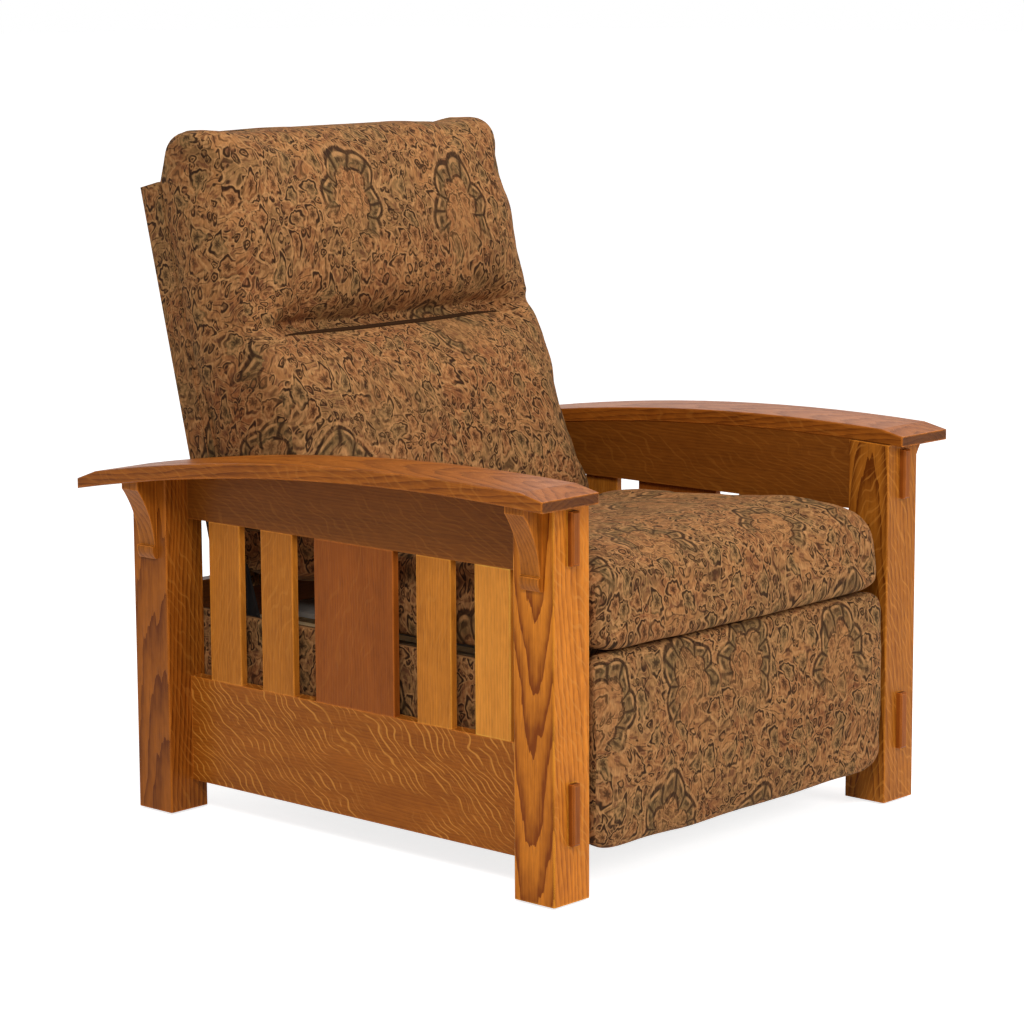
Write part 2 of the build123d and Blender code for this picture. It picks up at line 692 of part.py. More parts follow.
stile_width = 22.0
stile_margin = 14.0
stile_x = (swing_x[0] - stile_width, swing_x[0])
stile_ahead = (shell_skin + soft_gap, shell_deep - 2 * wire_radius - soft_gap)
stile_low = 66.0
stile_up = (stile_low, shell_tall - stile_margin)
back_rail_tall = 55.0
keep_sides("back_stiles", back_block(stile_x, stile_ahead, stile_up))
back_rails = []
for low in (stile_up[0], stile_up[1] - back_rail_tall):
    rail_x = (-stile_x[0], stile_x[0])
    back_rails.append(back_block(rail_x, stile_ahead, (low, low + back_rail_tall)))
keep("back_cross_rails", *back_rails)

# Back brackets: steel plates bolted to the stiles, hinged at R and pinned to the seat at P
bracket_width = 28.0
bracket_knee = on_back(shell_deep / 2, stile_low + bracket_width / 2)
bracket_tall = 112.0
bracket_head = on_back(shell_deep / 2, stile_low + bracket_tall)
back_bracket = bar(swing_x, pivot_p, pivot_r, bracket_width)
back_bracket += bar(swing_x, pivot_r, bracket_knee, bracket_width)
back_bracket += bar(swing_x, bracket_knee, bracket_head, bracket_width)
for place in (pivot_p, pivot_r):
    back_bracket -= rod(swing_x, place, recline_pin_radius + pivot_gap)
keep_sides("back_brackets", back_bracket)

# Back springs: sinuous wires between the stiles, against their front faces
back_spring_count = 4
back_spring_low = 150.0
back_spring_pitch = 115.0
spring_span = 2 * (stile_x[0] + stile_width / 2)
back_bends = int(round(spring_span / (2 * spring_bend)))
back_springs = []
for index in range(back_spring_count):
    place = on_back(stile_ahead[1] + wire_radius, back_spring_low + index * back_spring_pitch)
    origin = (-spring_span / 2, *place)
    spring_plane = Plane(origin=origin, x_dir=(1, 0, 0), z_dir=(0, -cos(lean), sin(lean)))
    back_springs.append(wire_solid(sinuous(spring_span, back_bends), spring_plane))
keep("back_springs", *back_springs)

# Back shell: the upholstered tray that closes the back, notched at its foot beside the brackets
shell_x = (-shell_half_width, shell_half_width)
shell = back_block(shell_x, (0, shell_deep), (0, shell_tall))
pocket_x = (-stile_x[1] - soft_gap, stile_x[1] + soft_gap)
pocket_up = (stile_up[0] - soft_gap, stile_up[1] + soft_gap)
shell -= back_block(pocket_x, (shell_skin, shell_deep + overrun), pocket_up)
notch_up = (-overrun, stile_low + bracket_tall + bracket_width)
notch_x = (swing_x[0] - soft_gap, shell_x[1] + overrun)
shell_notch = back_block(notch_x, (-overrun, shell_deep + overrun), notch_up)
keep("back_shell", shell - shell_notch - mirrored(shell_notch))

# Lumbar cushion: the lower chamber of the stuffed back, from behind the seat up to the tuck
tuck_height = 741.0
tuck_depth = 712.0
back_crown = 13.0
lumbar_ahead = shell_deep + soft_gap


def rear_plane(height):
    """The depth of the cushions' flat rear faces at a height."""
    up = (height - shell_low_height - lumbar_ahead * sin(lean)) / cos(lean)
    return on_back(lumbar_ahead, up)[0]


lumbar_low = 358.0
lumbar_nose_height = 432.0
lumbar_nose_depth = 562.0
lumbar_waist_height = 640.0
lumbar_waist_depth = 648.0
tuck_slit = 0.6
lumbar_top = tuck_height - tuck_slit / 2
lumbar_corners = [
    ((rear_plane(lumbar_low), lumbar_low), (0, 1), (0, 0)),
    ((front + lumbar_nose_depth + back_crown * 2, lumbar_low), (1, 1), (-back_crown, 0)),
    ((front + lumbar_nose_depth, lumbar_nose_height), (1, 0), (-back_crown, 0)),
    ((front + lumbar_waist_depth, lumbar_waist_height), (1, 0), (-back_crown * 2, 0)),
    ((front + tuck_depth, lumbar_top), (1, 0), (-back_crown, 0)),
    ((rear_plane(lumbar_top), lumbar_top), (0, 0), (0, 0)),
]
lumbar_radii = [14.0, 30.0, 60.0, 160.0, 24.0, 5.0]
back_draws = (26.0, 13.0, 2.0, 0.0, 0.0, 0.0, 2.0, 13.0, 26.0)
lumbar_cushion = stuffed(lumbar_corners, lumbar_radii, back_half_width, back_draws, crown_shares)
side_notch_front = pivot_p[0] - bracket_width
side_notch_rear = front + shell_low_depth
side_notch_z = (lumbar_low - overrun, max(pivot_r[1], bracket_knee[1]) + upright_width / 2)
side_notch_x = (swing_x[0] - pivot_gap * 2 - head_thick - soft_gap, back_half_width + overrun)
side_notch = block(side_notch_x, (side_notch_front, side_notch_rear), side_notch_z)
keep("lumbar_cushion", lumbar_cushion - side_notch - mirrored(side_notch))

# Head pillow: the upper chamber, rounded over the top of the shell
head_low = tuck_height + tuck_slit / 2
head_nose_height = 900.0
head_nose_depth = 736.0
head_top = 1058.0
head_front_depth = 786.0
head_rear_depth = 900.0
head_rear_height = 1052.0
shell_top_height = shell_low_height + shell_tall * cos(lean)
head_corners = [
    ((rear_plane(head_low), head_low), (0, 0), (0, 0)),
    ((front + tuck_depth, head_low), (1, 0), (-back_crown, 0)),
    ((front + head_nose_depth, head_nose_height), (1, 0), (-back_crown, 0)),
    ((front + head_front_depth, head_top), (1, -1), (0, 0)),
    ((front + head_rear_depth, head_rear_height), (-1, -1), (0, 0)),
    ((rear_plane(shell_top_height), shell_top_height), (0, 0), (0, 0)),
]
head_radii = [5.0, 24.0, 200.0, 48.0, 46.0, 20.0]
keep("head_pillow", stuffed(head_corners, head_radii, back_half_width, back_draws, crown_shares))

# Every node is written to its own file
for name, shape in nodes.items():
    export_step(shape, f"parts/{name}.step")
    print(f"{name:20s} {len(shape.solids()):2d} volume {shape.volume:12.0f}")
print("nodes", len(nodes))
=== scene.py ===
# A mission reclining armchair with bow arms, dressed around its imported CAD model.
# The chair faces -Y, +X is its left, +Z is up, and everything is in metres.
from math import radians

import bmesh
import bpy
import numpy as np
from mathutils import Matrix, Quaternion, Vector


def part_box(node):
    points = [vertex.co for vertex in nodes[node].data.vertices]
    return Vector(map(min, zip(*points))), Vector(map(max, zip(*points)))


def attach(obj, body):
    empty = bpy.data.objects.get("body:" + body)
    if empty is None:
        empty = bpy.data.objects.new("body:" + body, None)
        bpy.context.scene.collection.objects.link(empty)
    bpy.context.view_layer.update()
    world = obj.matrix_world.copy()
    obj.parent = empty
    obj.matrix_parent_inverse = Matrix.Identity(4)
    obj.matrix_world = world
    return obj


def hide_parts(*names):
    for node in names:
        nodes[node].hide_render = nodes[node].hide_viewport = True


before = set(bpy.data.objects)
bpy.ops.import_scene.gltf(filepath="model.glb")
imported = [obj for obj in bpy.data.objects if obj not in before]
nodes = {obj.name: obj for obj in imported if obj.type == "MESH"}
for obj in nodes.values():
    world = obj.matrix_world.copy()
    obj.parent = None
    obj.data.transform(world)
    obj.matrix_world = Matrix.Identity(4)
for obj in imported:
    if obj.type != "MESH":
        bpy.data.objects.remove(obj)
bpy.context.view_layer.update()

# The camera stands off the chair's right front corner, about twice as high as its arms: a long lens, level to
# within a third of a degree, looking down by nine degrees, fitted to the photograph.
camera_place = Vector((-3.7013, -3.3736, 1.2856))
camera_turn = radians(47.62)
camera_dip = radians(9.34)
camera_roll = radians(0.30)
camera_lens = 113.97
camera_sensor = 36.0
camera_reach = 200.0

camera = bpy.data.objects.new("camera", bpy.data.cameras.new("camera"))
camera.data.sensor_width = camera_sensor
camera.data.lens = camera_lens
camera.data.clip_end = camera_reach
camera.location = camera_place
sight = Vector((
    np.sin(camera_turn) * np.cos(camera_dip),
    np.cos(camera_turn) * np.cos(camera_dip),
    -np.sin(camera_dip),
))
camera.rotation_mode = "QUATERNION"
camera.rotation_quaternion = sight.to_track_quat("-Z", "Y") @ Quaternion((0, 0, 1), -camera_roll)
bpy.context.scene.collection.objects.link(camera)
bpy.context.scene.camera = camera
bpy.context.scene.view_settings.view_transform = "Standard"


# Shader trees are drawn with this helper. It adds one node at a time, links what it is given as a socket
# and types what it is given as a number, and hands back the new node's output.
class Weaver:
    """Adds nodes to one shader tree, and answers with the sockets that they put out."""

    def __init__(self, tree):
        self.tree = tree

    def feed(self, made, given):
        """Links or types each value into a node's input, by name or place."""
        for key, value in given.items():
            if isinstance(value, bpy.types.NodeSocket):
                self.tree.links.new(value, made.inputs[key])
            else:
                made.inputs[key].default_value = value

    def node(self, kind, given=None, **settings):
        """One node with its settings and its inputs."""
        made = self.tree.nodes.new(kind)
        for key, value in settings.items():
            setattr(made, key, value)
        self.feed(made, given or {})
        return made

    def math(self, operation, first, second=0.0, third=0.0, clamp=False):
        """A number worked out from up to three numbers."""
        given = {0: first, 1: second, 2: third}
        return self.node("ShaderNodeMath", given, operation=operation, use_clamp=clamp).outputs[0]

    def vector(self, operation, first, second=(0.0, 0.0, 0.0)):
        """A vector worked out from two vectors."""
        return self.node("ShaderNodeVectorMath", {0: first, 1: second}, operation=operation).outputs[0]

    def parts(self, vector):
        """The three parts of a vector."""
        return self.node("ShaderNodeSeparateXYZ", {0: vector}).outputs[:]

    def whole(self, x, y, z):
        """A vector from its three parts."""
        return self.node("ShaderNodeCombineXYZ", {0: x, 1: y, 2: z}).outputs[0]

    def length(self, x, y):
        """sqrt(x^2 + y^2)."""
        return self.math("SQRT", self.math("ADD", self.math("POWER", x, 2.0), self.math("POWER", y, 2.0)))

    def noise(self, vector, scale=1.0, detail=2.0, rough=0.5):
        """Soft noise around one half."""
        given = {"Vector": vector, "Scale": scale, "Detail": detail, "Roughness": rough}
        return self.node("ShaderNodeTexNoise", given).outputs["Fac"]

    def streaks(self, vector, waves, detail=2.0, rough=0.5):
        """Noise with a number of waves a metre of its own on each axis."""
        return self.noise(self.vector("MULTIPLY", vector, waves), 1.0, detail, rough)

    def between(self, value, low, high, flip=False):
        """A smooth step from 0 at low to 1 at high, or the other way round."""
        given = {"Value": value, "From Min": low, "From Max": high,
                 "To Min": float(flip), "To Max": float(not flip)}
        return self.node("ShaderNodeMapRange", given, interpolation_type="SMOOTHSTEP").outputs[0]

    def patches(self, vector, scale, detail, low, high, rough=0.5):
        """Patches where noise rises from low to high."""
        return self.between(self.noise(vector, scale, detail, rough), low, high)

    def blend(self, share, first, second, how="MIX"):
        """A colour from first at share 0 to second at share 1."""
        given = {"Factor": share, 6: first, 7: second}
        return self.node("ShaderNodeMix", given, data_type="RGBA", blend_type=how).outputs[2]

    def bump(self, height, strength, distance):
        """A normal tilted by the slope of a height."""
        given = {"Height": height, "Strength": strength, "Distance": distance}
        return self.node("ShaderNodeBump", given).outputs[0]


# The studio: a pale floor that runs out of sight, a white world, and three large soft lamps. The strongest
# hangs beside the camera, a weaker one in front of the chair on its left, and the weakest overhead.
floor_half = 60.0
floor_level = -0.0005
floor_grey = 0.80
floor_glow = 0.78
world_fill = 0.38
world_glow = 0.62
white = (1.0, 1.0, 1.0, 1.0)


def new_material(name):
    """A material with a Principled shader, its weaver and the shader node."""
    material = bpy.data.materials.new(name)
    material.use_nodes = True
    return material, Weaver(material.node_tree), material.node_tree.nodes["Principled BSDF"]


def new_piece(name, corners, faces):
    """A piece made from its corners and faces."""
    mesh = bpy.data.meshes.new(name)
    mesh.from_pydata(corners, [], faces)
    piece = bpy.data.objects.new(name, mesh)
    bpy.context.scene.collection.objects.link(piece)
    return piece


def seen_directly(weaver):
    """1 for what shows to the camera, in a gloss or through glass, and 0 for light that fills the studio."""
    ray = weaver.node("ShaderNodeLightPath").outputs
    shown = weaver.math("ADD", ray["Is Camera Ray"], ray["Is Glossy Ray"], clamp=True)
    return weaver.math("ADD", shown, ray["Is Transmission Ray"], clamp=True)


def soft_lamp(name, place, size, power):
    """A square soft lamp at a place, turned to the middle of the chair."""
    lamp = bpy.data.objects.new(name, bpy.data.lights.new(name, "AREA"))
    lamp.data.size = size
    lamp.data.energy = power
    lamp.location = place
    lamp.rotation_euler = (chair_middle - Vector(place)).to_track_quat("-Z", "Y").to_euler()
    bpy.context.scene.collection.objects.link(lamp)


floor_ends = ((-1, -1), (1, -1), (1, 1), (-1, 1))
floor_corners = [(floor_half * x, floor_half * y, floor_level) for x, y in floor_ends]
floor = new_piece("floor", floor_corners, [(0, 1, 2, 3)])

floor_paint, weaver, shader = new_material("floor_paint")
weaver.feed(shader, {"Base Color": (floor_grey, floor_grey, floor_grey, 1.0), "Roughness": 0.9,
                     "Specular IOR Level": 0.1})
glow = weaver.math("MULTIPLY", seen_directly(weaver), floor_glow)
glow = weaver.node("ShaderNodeEmission", {"Color": white, "Strength": glow}).outputs[0]
floor_look = weaver.node("ShaderNodeAddShader", {0: shader.outputs[0], 1: glow}).outputs[0]
weaver.feed(floor_paint.node_tree.nodes["Material Output"], {"Surface": floor_look})
floor.data.materials.append(floor_paint)

world = bpy.data.worlds.new("studio")
world.use_nodes = True
weaver = Weaver(world.node_tree)
strength = weaver.math("MULTIPLY_ADD", seen_directly(weaver), world_glow, world_fill)
weaver.feed(world.node_tree.nodes["Background"], {"Color": white, "Strength": strength})
bpy.context.scene.world = world

chair_middle = Vector((0.0, 0.0, 0.5))
soft_lamp("front_lamp", (1.5, -3.8, 2.2), size=1.5, power=62.0)
soft_lamp("side_lamp", (-2.6, -2.2, 3.0), size=1.1, power=74.0)
soft_lamp("top_lamp", (0.4, -0.4, 3.6), size=2.0, power=40.0)


# The oak frame: stained and lacquered white oak, planed flat and sanded. Posts and arms are flat sawn, so
# that their rings run out in pointed arches, and rails are quarter sawn, with pale ray flecks. Edges are
# painted paler, a painted highlight along them that also stands for rubbed wear, and end grain has soaked
# up more stain.
def dye(red, green, blue):
    """A colour typed as it looks on a screen, from 0 to 255, turned into linear light."""
    shares = np.array((red, green, blue)) / 255.0
    linear = np.where(shares <= 0.04045, shares / 12.92, ((shares + 0.055) / 1.055) ** 2.4)
    return (*linear.tolist(), 1.0)


def new_group(name, inputs, outputs):
    """An empty shader group with its sockets, and the weaver, the inputs and the output node in it."""
    tree = bpy.data.node_groups.new(name, "ShaderNodeTree")
    for label, kind, value in inputs:
        socket = tree.interface.new_socket(name=label, in_out="INPUT", socket_type="NodeSocket" + kind)
        if value is not None:
            socket.default_value = value
    for label, kind in outputs:
        tree.interface.new_socket(name=label, in_out="OUTPUT", socket_type="NodeSocket" + kind)
    weaver = Weaver(tree)
    return tree, weaver, weaver.node("NodeGroupInput").outputs, weaver.node("NodeGroupOutput")


pith_drift = 0.035
pith_sway = 0.030
pore_stain = dye(34, 14, 4)
ray_pale = dye(206, 134, 54)
lane_count = 78.0
oak_figure, weaver, given, result = new_group(
    "oak_figure",
    [("Vector", "Vector", None), ("Pith Across", "Float", 0.0), ("Pith Deep", "Float", 0.1),
     ("Tilt", "Float", 0.03), ("Ring", "Float", 0.005), ("Ring Depth", "Float", 1.0), ("Calm", "Float", 0.0),
     ("Fleck", "Float", 0.0), ("Fleck Slope", "Float", 0.6), ("Fleck Limit", "Float", 9.0),
     ("Light", "Color", None), ("Dark", "Color", None), ("Ray", "Color", None)],
    [("Color", "Color"), ("Roughness", "Float"), ("Height", "Float")],
)
board = given["Vector"]
along, across, deep = weaver.parts(board)

slow = weaver.vector("MULTIPLY", board, (2.4, 9.0, 9.0))
drift = weaver.math("SUBTRACT", weaver.noise(slow, 1.0, 2.0), 0.5)
sway = weaver.math("SUBTRACT", weaver.noise(weaver.vector("ADD", slow, (7.3, 2.1, 4.7)), 1.0, 3.0), 0.5)
pith_y = weaver.math("SUBTRACT", across, given["Pith Across"])
pith_y = weaver.math("MULTIPLY_ADD", drift, pith_drift, pith_y)
pith_z = weaver.math("SUBTRACT", deep, given["Pith Deep"])
pith_z = weaver.math("MULTIPLY_ADD", along, given["Tilt"], pith_z)
pith_z = weaver.math("MULTIPLY_ADD", sway, pith_sway, pith_z)
ripple = weaver.streaks(board, (14.0, 120.0, 120.0))
rings = weaver.math("DIVIDE", weaver.length(pith_y, pith_z), given["Ring"])
season = weaver.math("FRACT", weaver.math("MULTIPLY_ADD", ripple, 0.55, rings))
early = weaver.between(season, 0.0, 0.30, flip=True)
late = weaver.math("MULTIPLY", weaver.math("POWER", season, 1.8), given["Ring Depth"])
late = weaver.math("MULTIPLY", late, weaver.math("SUBTRACT", 1.0, given["Calm"]))

fibre = weaver.streaks(board, (9.0, 620.0, 620.0), 3.0, 0.6)
mottle = weaver.streaks(board, (4.0, 22.0, 22.0))
blotch = weaver.streaks(board, (45.0, 130.0, 130.0))
shade = weaver.math("MULTIPLY_ADD", late, 0.85, weaver.math("MULTIPLY_ADD", fibre, 0.70, -0.14))
shade = weaver.math("ADD", shade, weaver.math("MULTIPLY_ADD", mottle, 0.70, -0.35))
shade = weaver.math("ADD", shade, weaver.math("MULTIPLY_ADD", blotch, 0.50, -0.20), clamp=True)
tone = weaver.blend(shade, given["Light"], given["Dark"])

streak = weaver.streaks(board, (30.0, 1500.0, 1500.0), 1.0)
pores = weaver.math("MULTIPLY_ADD", early, 0.75, 0.25)
pores = weaver.math("MULTIPLY", weaver.between(streak, 0.52, 0.66), pores)
pore_tone = weaver.blend(0.65, given["Dark"], pore_stain)
tone = weaver.blend(weaver.math("MULTIPLY", pores, 0.55), tone, pore_tone)

bow = weaver.streaks(board, (7.0, 16.0, 16.0))
bent = weaver.math("MULTIPLY_ADD", bow, 0.080, weaver.math("ADD", across, deep))
fleck_long = weaver.math("MULTIPLY_ADD", bent, given["Fleck Slope"], along)
fleck_wide = weaver.math("MULTIPLY", given["Fleck Slope"], -1.0)
fleck_wide = weaver.math("MULTIPLY_ADD", along, fleck_wide, bent)
wobble = weaver.math("MULTIPLY", weaver.streaks(board, (16.0, 30.0, 30.0), 1.0), 1.6)
lane = weaver.math("PINGPONG", weaver.math("MULTIPLY_ADD", fleck_wide, lane_count, wobble), 0.5)
lane_spot = weaver.whole(fleck_long, fleck_wide, 0.0)
broken = weaver.between(weaver.streaks(lane_spot, (15.0, 95.0, 1.0)), 0.40, 0.52)
hair_spot = weaver.whole(fleck_long, fleck_wide, deep)
hairline = weaver.between(weaver.streaks(hair_spot, (40.0, 420.0, 1.0), 1.0), 0.60, 0.70)
fleck = weaver.math("MULTIPLY", weaver.between(lane, 0.06, 0.16, flip=True), broken)
fleck = weaver.math("MULTIPLY_ADD", hairline, 0.30, fleck, clamp=True)
patch = weaver.between(weaver.streaks(board, (6.0, 14.0, 14.0), 1.0), 0.30, 0.46)
inside = weaver.math("LESS_THAN", weaver.math("ABSOLUTE", deep), given["Fleck Limit"])
fleck = weaver.math("MULTIPLY", fleck, weaver.math("MULTIPLY", patch, inside))
fleck = weaver.math("MULTIPLY", fleck, given["Fleck"])

gloss = weaver.math("MULTIPLY_ADD", shade, 0.10, 0.36)
relief = weaver.math("MULTIPLY_ADD", pores, -0.8, weaver.math("MULTIPLY", fibre, 0.35))
weaver.feed(result, {
    "Color": weaver.blend(fleck, tone, given["Ray"]),
    "Roughness": weaver.math("MULTIPLY_ADD", fleck, -0.08, gloss),
    "Height": weaver.math("MULTIPLY_ADD", fleck, 0.3, relief),
})

# A painted highlight along edges, which also stands for rubbed wear: 1 where the bevelled normal turns away
# from the true one, broken up by noise.
edge_highlight_and_wear, weaver, given, result = new_group(
    "edge_highlight_and_wear", [("Vector", "Vector", None), ("Radius", "Float", 0.0045)], [("Highlight", "Float")]
)
rounded = weaver.node("ShaderNodeBevel", {"Radius": given["Radius"]}, samples=4).outputs[0]
surface = weaver.node("ShaderNodeNewGeometry").outputs["Normal"]
agreement = weaver.node("ShaderNodeVectorMath", {0: rounded, 1: surface}, operation="DOT_PRODUCT")
corner = weaver.between(agreement.outputs["Value"], 0.86, 0.985, flip=True)
highlight_breakup = weaver.between(weaver.streaks(given["Vector"], (14.0, 60.0, 60.0), 3.0), 0.36, 0.56)
weaver.feed(result, {"Highlight": weaver.math("MULTIPLY", corner, weaver.math("MULTIPLY_ADD", highlight_breakup, 0.6, 0.4))})

edge_highlight_share = 0.80
soaked_share = 0.75
soaked_dark = 0.62


def oak(name, order, light, dark, pith=(0.0, 0.12), tilt=0.03, ring=0.0055, depth=0.35, fleck=0.0, slope=0.6,
        limit=9.0, calm=0.0, start=(0.0, 0.0, 0.0)):
    """Oak whose grain runs along the first axis named in order, with the face's width along the second.
    Calm fades the rings on the faces that look along the second axis."""
    material, weaver, shader = new_material(name)
    own = weaver.node("ShaderNodeTexCoord").outputs
    parts = dict(zip("XYZ", weaver.parts(weaver.vector("ADD", own["Object"], start))))
    looks = dict(zip("XYZ", weaver.parts(own["Normal"])))
    grain_end = weaver.math("ABSOLUTE", looks[order[0]])
    calm_side = weaver.between(weaver.math("ABSOLUTE", looks[order[1]]), 0.6, 0.9)
    board = weaver.whole(*[parts[axis] for axis in order])
    given = {
        "Vector": board, "Pith Across": pith[0], "Pith Deep": pith[1], "Tilt": tilt, "Ring": ring,
        "Ring Depth": depth, "Calm": weaver.math("MULTIPLY", calm_side, calm), "Fleck": fleck,
        "Fleck Slope": slope, "Fleck Limit": limit, "Light": dye(*light), "Dark": dye(*dark), "Ray": ray_pale,
    }
    figure = weaver.node("ShaderNodeGroup", given, node_tree=oak_figure).outputs
    edge_highlight = weaver.node("ShaderNodeGroup", {"Vector": board}, node_tree=edge_highlight_and_wear).outputs["Highlight"]
    soaked = weaver.math("MULTIPLY", weaver.between(grain_end, 0.60, 0.85), soaked_share)
    tone = weaver.blend(soaked, figure["Color"], dye(*[soaked_dark * part for part in dark]))
    # Edges are painted paler: a painted highlight, partly rubbed wear.
    pale_edge_highlight = dye(*[min(1.22 * part + 8.0, 250.0) for part in light])
    tone = weaver.blend(weaver.math("MULTIPLY", edge_highlight, edge_highlight_share), tone, pale_edge_highlight)
    weaver.feed(shader, {
        "Base Color": tone,
        "Roughness": figure["Roughness"],
        "Normal": weaver.bump(figure["Height"], strength=0.35, distance=0.0006),
        "Specular IOR Level": 0.12,
        "Specular Tint": (1.0, 0.80, 0.58, 1.0),
        "Coat Weight": 0.02,
        "Coat Roughness": 0.22,
    })
    return material


def finish_node(name, material):
    """A CAD node keeps its shape and takes this material."""
    mesh = nodes[name].data
    mesh.materials.clear()
    mesh.materials.append(material)


front_post_hues = ((204, 122, 36), (112, 52, 8))
# The two front posts are one oak, but the far left post is painted darker and the near right post brighter:
# painted shade and painted light.
front_post_painted_light = {"left": 0.92, "right": 1.13}
post_fleck_limit = 0.4268
wide_slat = 3
# Each slat has its own tone, partly board-to-board difference and partly painted light: slat 1, nearest the
# front, is painted brightest, as if light falls off towards the rear.
slat_tones_and_painted_light = {
    1: ((242, 158, 62), (178, 106, 32)),
    2: ((214, 132, 44), (144, 80, 19)),
    3: ((164, 87, 27), (112, 53, 13)),
    4: ((198, 120, 38), (134, 72, 16)),
    5: ((206, 126, 42), (142, 78, 20)),
}
for side, sign in (("left", 1), ("right", -1)):
    post_light, post_dark = [tuple(front_post_painted_light[side] * part for part in hue) for hue in front_post_hues]
    boards = {
        "front_post": ("ZYX", post_light, post_dark, dict(
            pith=(-0.425, sign * 0.33), tilt=0.07, ring=0.0078, depth=1.0, fleck=0.40, slope=-0.6,
            limit=post_fleck_limit, calm=0.45)),
        "rear_post": ("ZYX", (184, 104, 30), (102, 47, 8), dict(
            pith=(0.36, sign * 0.33), tilt=-0.05, ring=0.0075, depth=0.8, fleck=0.3, slope=-0.5,
            limit=post_fleck_limit)),
        "lower_rail": ("YZX", (176, 99, 28), (116, 57, 11), dict(
            pith=(2.0, sign * 0.37), tilt=0.01, ring=0.0052, fleck=0.95, slope=0.80)),
        # The upper rail is the lower rail's oak painted darker: painted shade of the arm that overhangs it.
        "upper_rail": ("YZX", (142, 80, 24), (94, 46, 10), dict(
            pith=(1.6, sign * 0.37), tilt=0.01, ring=0.0052, fleck=0.12, slope=0.5, start=(0.0, 0.6, 0.0))),
        "arm": ("YXZ", (178, 100, 30), (94, 42, 8), dict(
            pith=(sign * 0.40, 0.42), tilt=0.12, ring=0.0085, depth=0.6, fleck=0.15, slope=0.4)),
    }
    for number, (light, dark) in slat_tones_and_painted_light.items():
        boards[f"slat_{number}"] = ("ZYX", light, dark, dict(
            pith=(1.4 + 0.3 * number, sign * 0.37), tilt=0.0, ring=0.0055, depth=0.30,
            fleck=0.08 if number == wide_slat else 0.30, slope=-0.25, start=(0.0, 0.0, 0.37 * number)))
    for end in ("front", "rear"):
        boards[f"{end}_corbel"] = ("ZXY", (186, 108, 32), (112, 56, 12), dict(
            pith=(0.2, 0.8), tilt=0.02, ring=0.0060, depth=0.6))
    for name, (order, light, dark, figure) in boards.items():
        finish_node(f"{side}_{name}", oak(f"{side}_{name}_oak", order, light, dark, **figure))
finish_node("tenon_plugs", oak("plug_oak", "ZXY", (158, 84, 26), (98, 46, 10), pith=(0.9, 0.0), ring=0.0055))
finish_node("rear_cross_rail", oak("cross_rail_oak", "XZY", (116, 62, 20), (72, 34, 8), pith=(1.2, 0.4),
                                   ring=0.0060))

# The upholstery cloth: a woven tapestry in camel, maroon, olive and dark brown. Its paisley scatters
# medallions under beaded arches over smaller ringed petals, and these over contour lines that flow between.
camel = dye(164, 111, 65)
honey = dye(190, 138, 86)
rust = dye(142, 88, 50)
maroon = dye(98, 56, 36)
olive = dye(118, 92, 56)
umber = dye(44, 25, 13)
warp_waves = 4200.0
weft_waves = 3400.0
tapestry, weaver, given, result = new_group(
    "tapestry",
    [("Vector", "Vector", None)],
    [("Color", "Color"), ("Height", "Float"), ("Roughness", "Float")],
)
cloth_place = given["Vector"]


def drifted(source, scale, reach, shift):
    """A place moved about by soft noise of a scale, by up to a reach each way."""
    given = {"Vector": weaver.vector("ADD", source, shift), "Scale": scale, "Detail": 2.0}
    noise = weaver.node("ShaderNodeTexNoise", given).outputs["Color"]
    step = weaver.vector("SUBTRACT", noise, (0.5, 0.5, 0.5))
    step = weaver.vector("MULTIPLY", step, (reach, reach, 0.0))
    return weaver.vector("ADD", source, step)


def motif(source, scale, tall, chance, twist, shift):
    """Cells of a jittered grid, each turned its own way: the place within a cell, and the cell's colour."""
    spot = weaver.vector("MULTIPLY", weaver.vector("ADD", source, shift), (scale, scale / tall, 0.0))
    cell = weaver.node("ShaderNodeTexVoronoi", {"Vector": spot, "Scale": 1.0, "Randomness": chance},
                       voronoi_dimensions="2D").outputs
    offset = weaver.vector("SUBTRACT", spot, cell["Position"])
    turn = weaver.math("SUBTRACT", weaver.parts(cell["Color"])[2], 0.5)
    given = {"Vector": offset, "Angle": weaver.math("MULTIPLY", turn, twist)}
    return weaver.node("ShaderNodeVectorRotate", given, rotation_type="Z_AXIS").outputs[0], cell["Color"]


def petal(place, hook, taper):
    """Distance in a petal, sqrt(((x + hook y y)(1 + taper y))^2 + (0.75 y)^2): round, with a hooked tip."""
    x, y, _ = weaver.parts(place)
    bent = weaver.math("MULTIPLY_ADD", weaver.math("MULTIPLY", y, y), hook, x)
    drawn = weaver.math("MULTIPLY", bent, weaver.math("MULTIPLY_ADD", y, taper, 1.0))
    return weaver.length(drawn, weaver.math("MULTIPLY", y, 0.75))


def angle(place):
    """The angle of a place round the middle of its cell."""
    x, y, _ = weaver.parts(place)
    return weaver.math("ARCTAN2", y, x)


def waves(turn, count):
    """|sin(count x turn)|."""
    return weaver.math("ABSOLUTE", weaver.math("SINE", weaver.math("MULTIPLY", turn, count)))


def ring_line(distance, radius, half_width):
    """1 on a ring of a radius, falling to 0 at half a width from it."""
    away = weaver.math("ABSOLUTE", weaver.math("SUBTRACT", distance, radius))
    return weaver.between(away, half_width * 0.45, half_width, flip=True)


def inked(base, hue, *shares):
    """A hue laid over the pattern so far, at the product of its shares."""
    share = shares[0]
    for other in shares[1:]:
        share = weaver.math("MULTIPLY", share, other)
    return weaver.blend(share, base, hue)


flow = drifted(cloth_place, scale=8.0, reach=0.060, shift=(3.1, 1.7, 0.0))
curl = drifted(flow, scale=48.0, reach=0.011, shift=(0.4, 5.2, 0.0))
turned_flow = drifted(flow, scale=30.0, reach=0.008, shift=(1.4, 2.2, 0.0))
brush = weaver.patches(curl, 62.0, 2.0, 0.35, 0.50)
firm_brush = weaver.patches(curl, 40.0, 1.0, 0.30, 0.46)

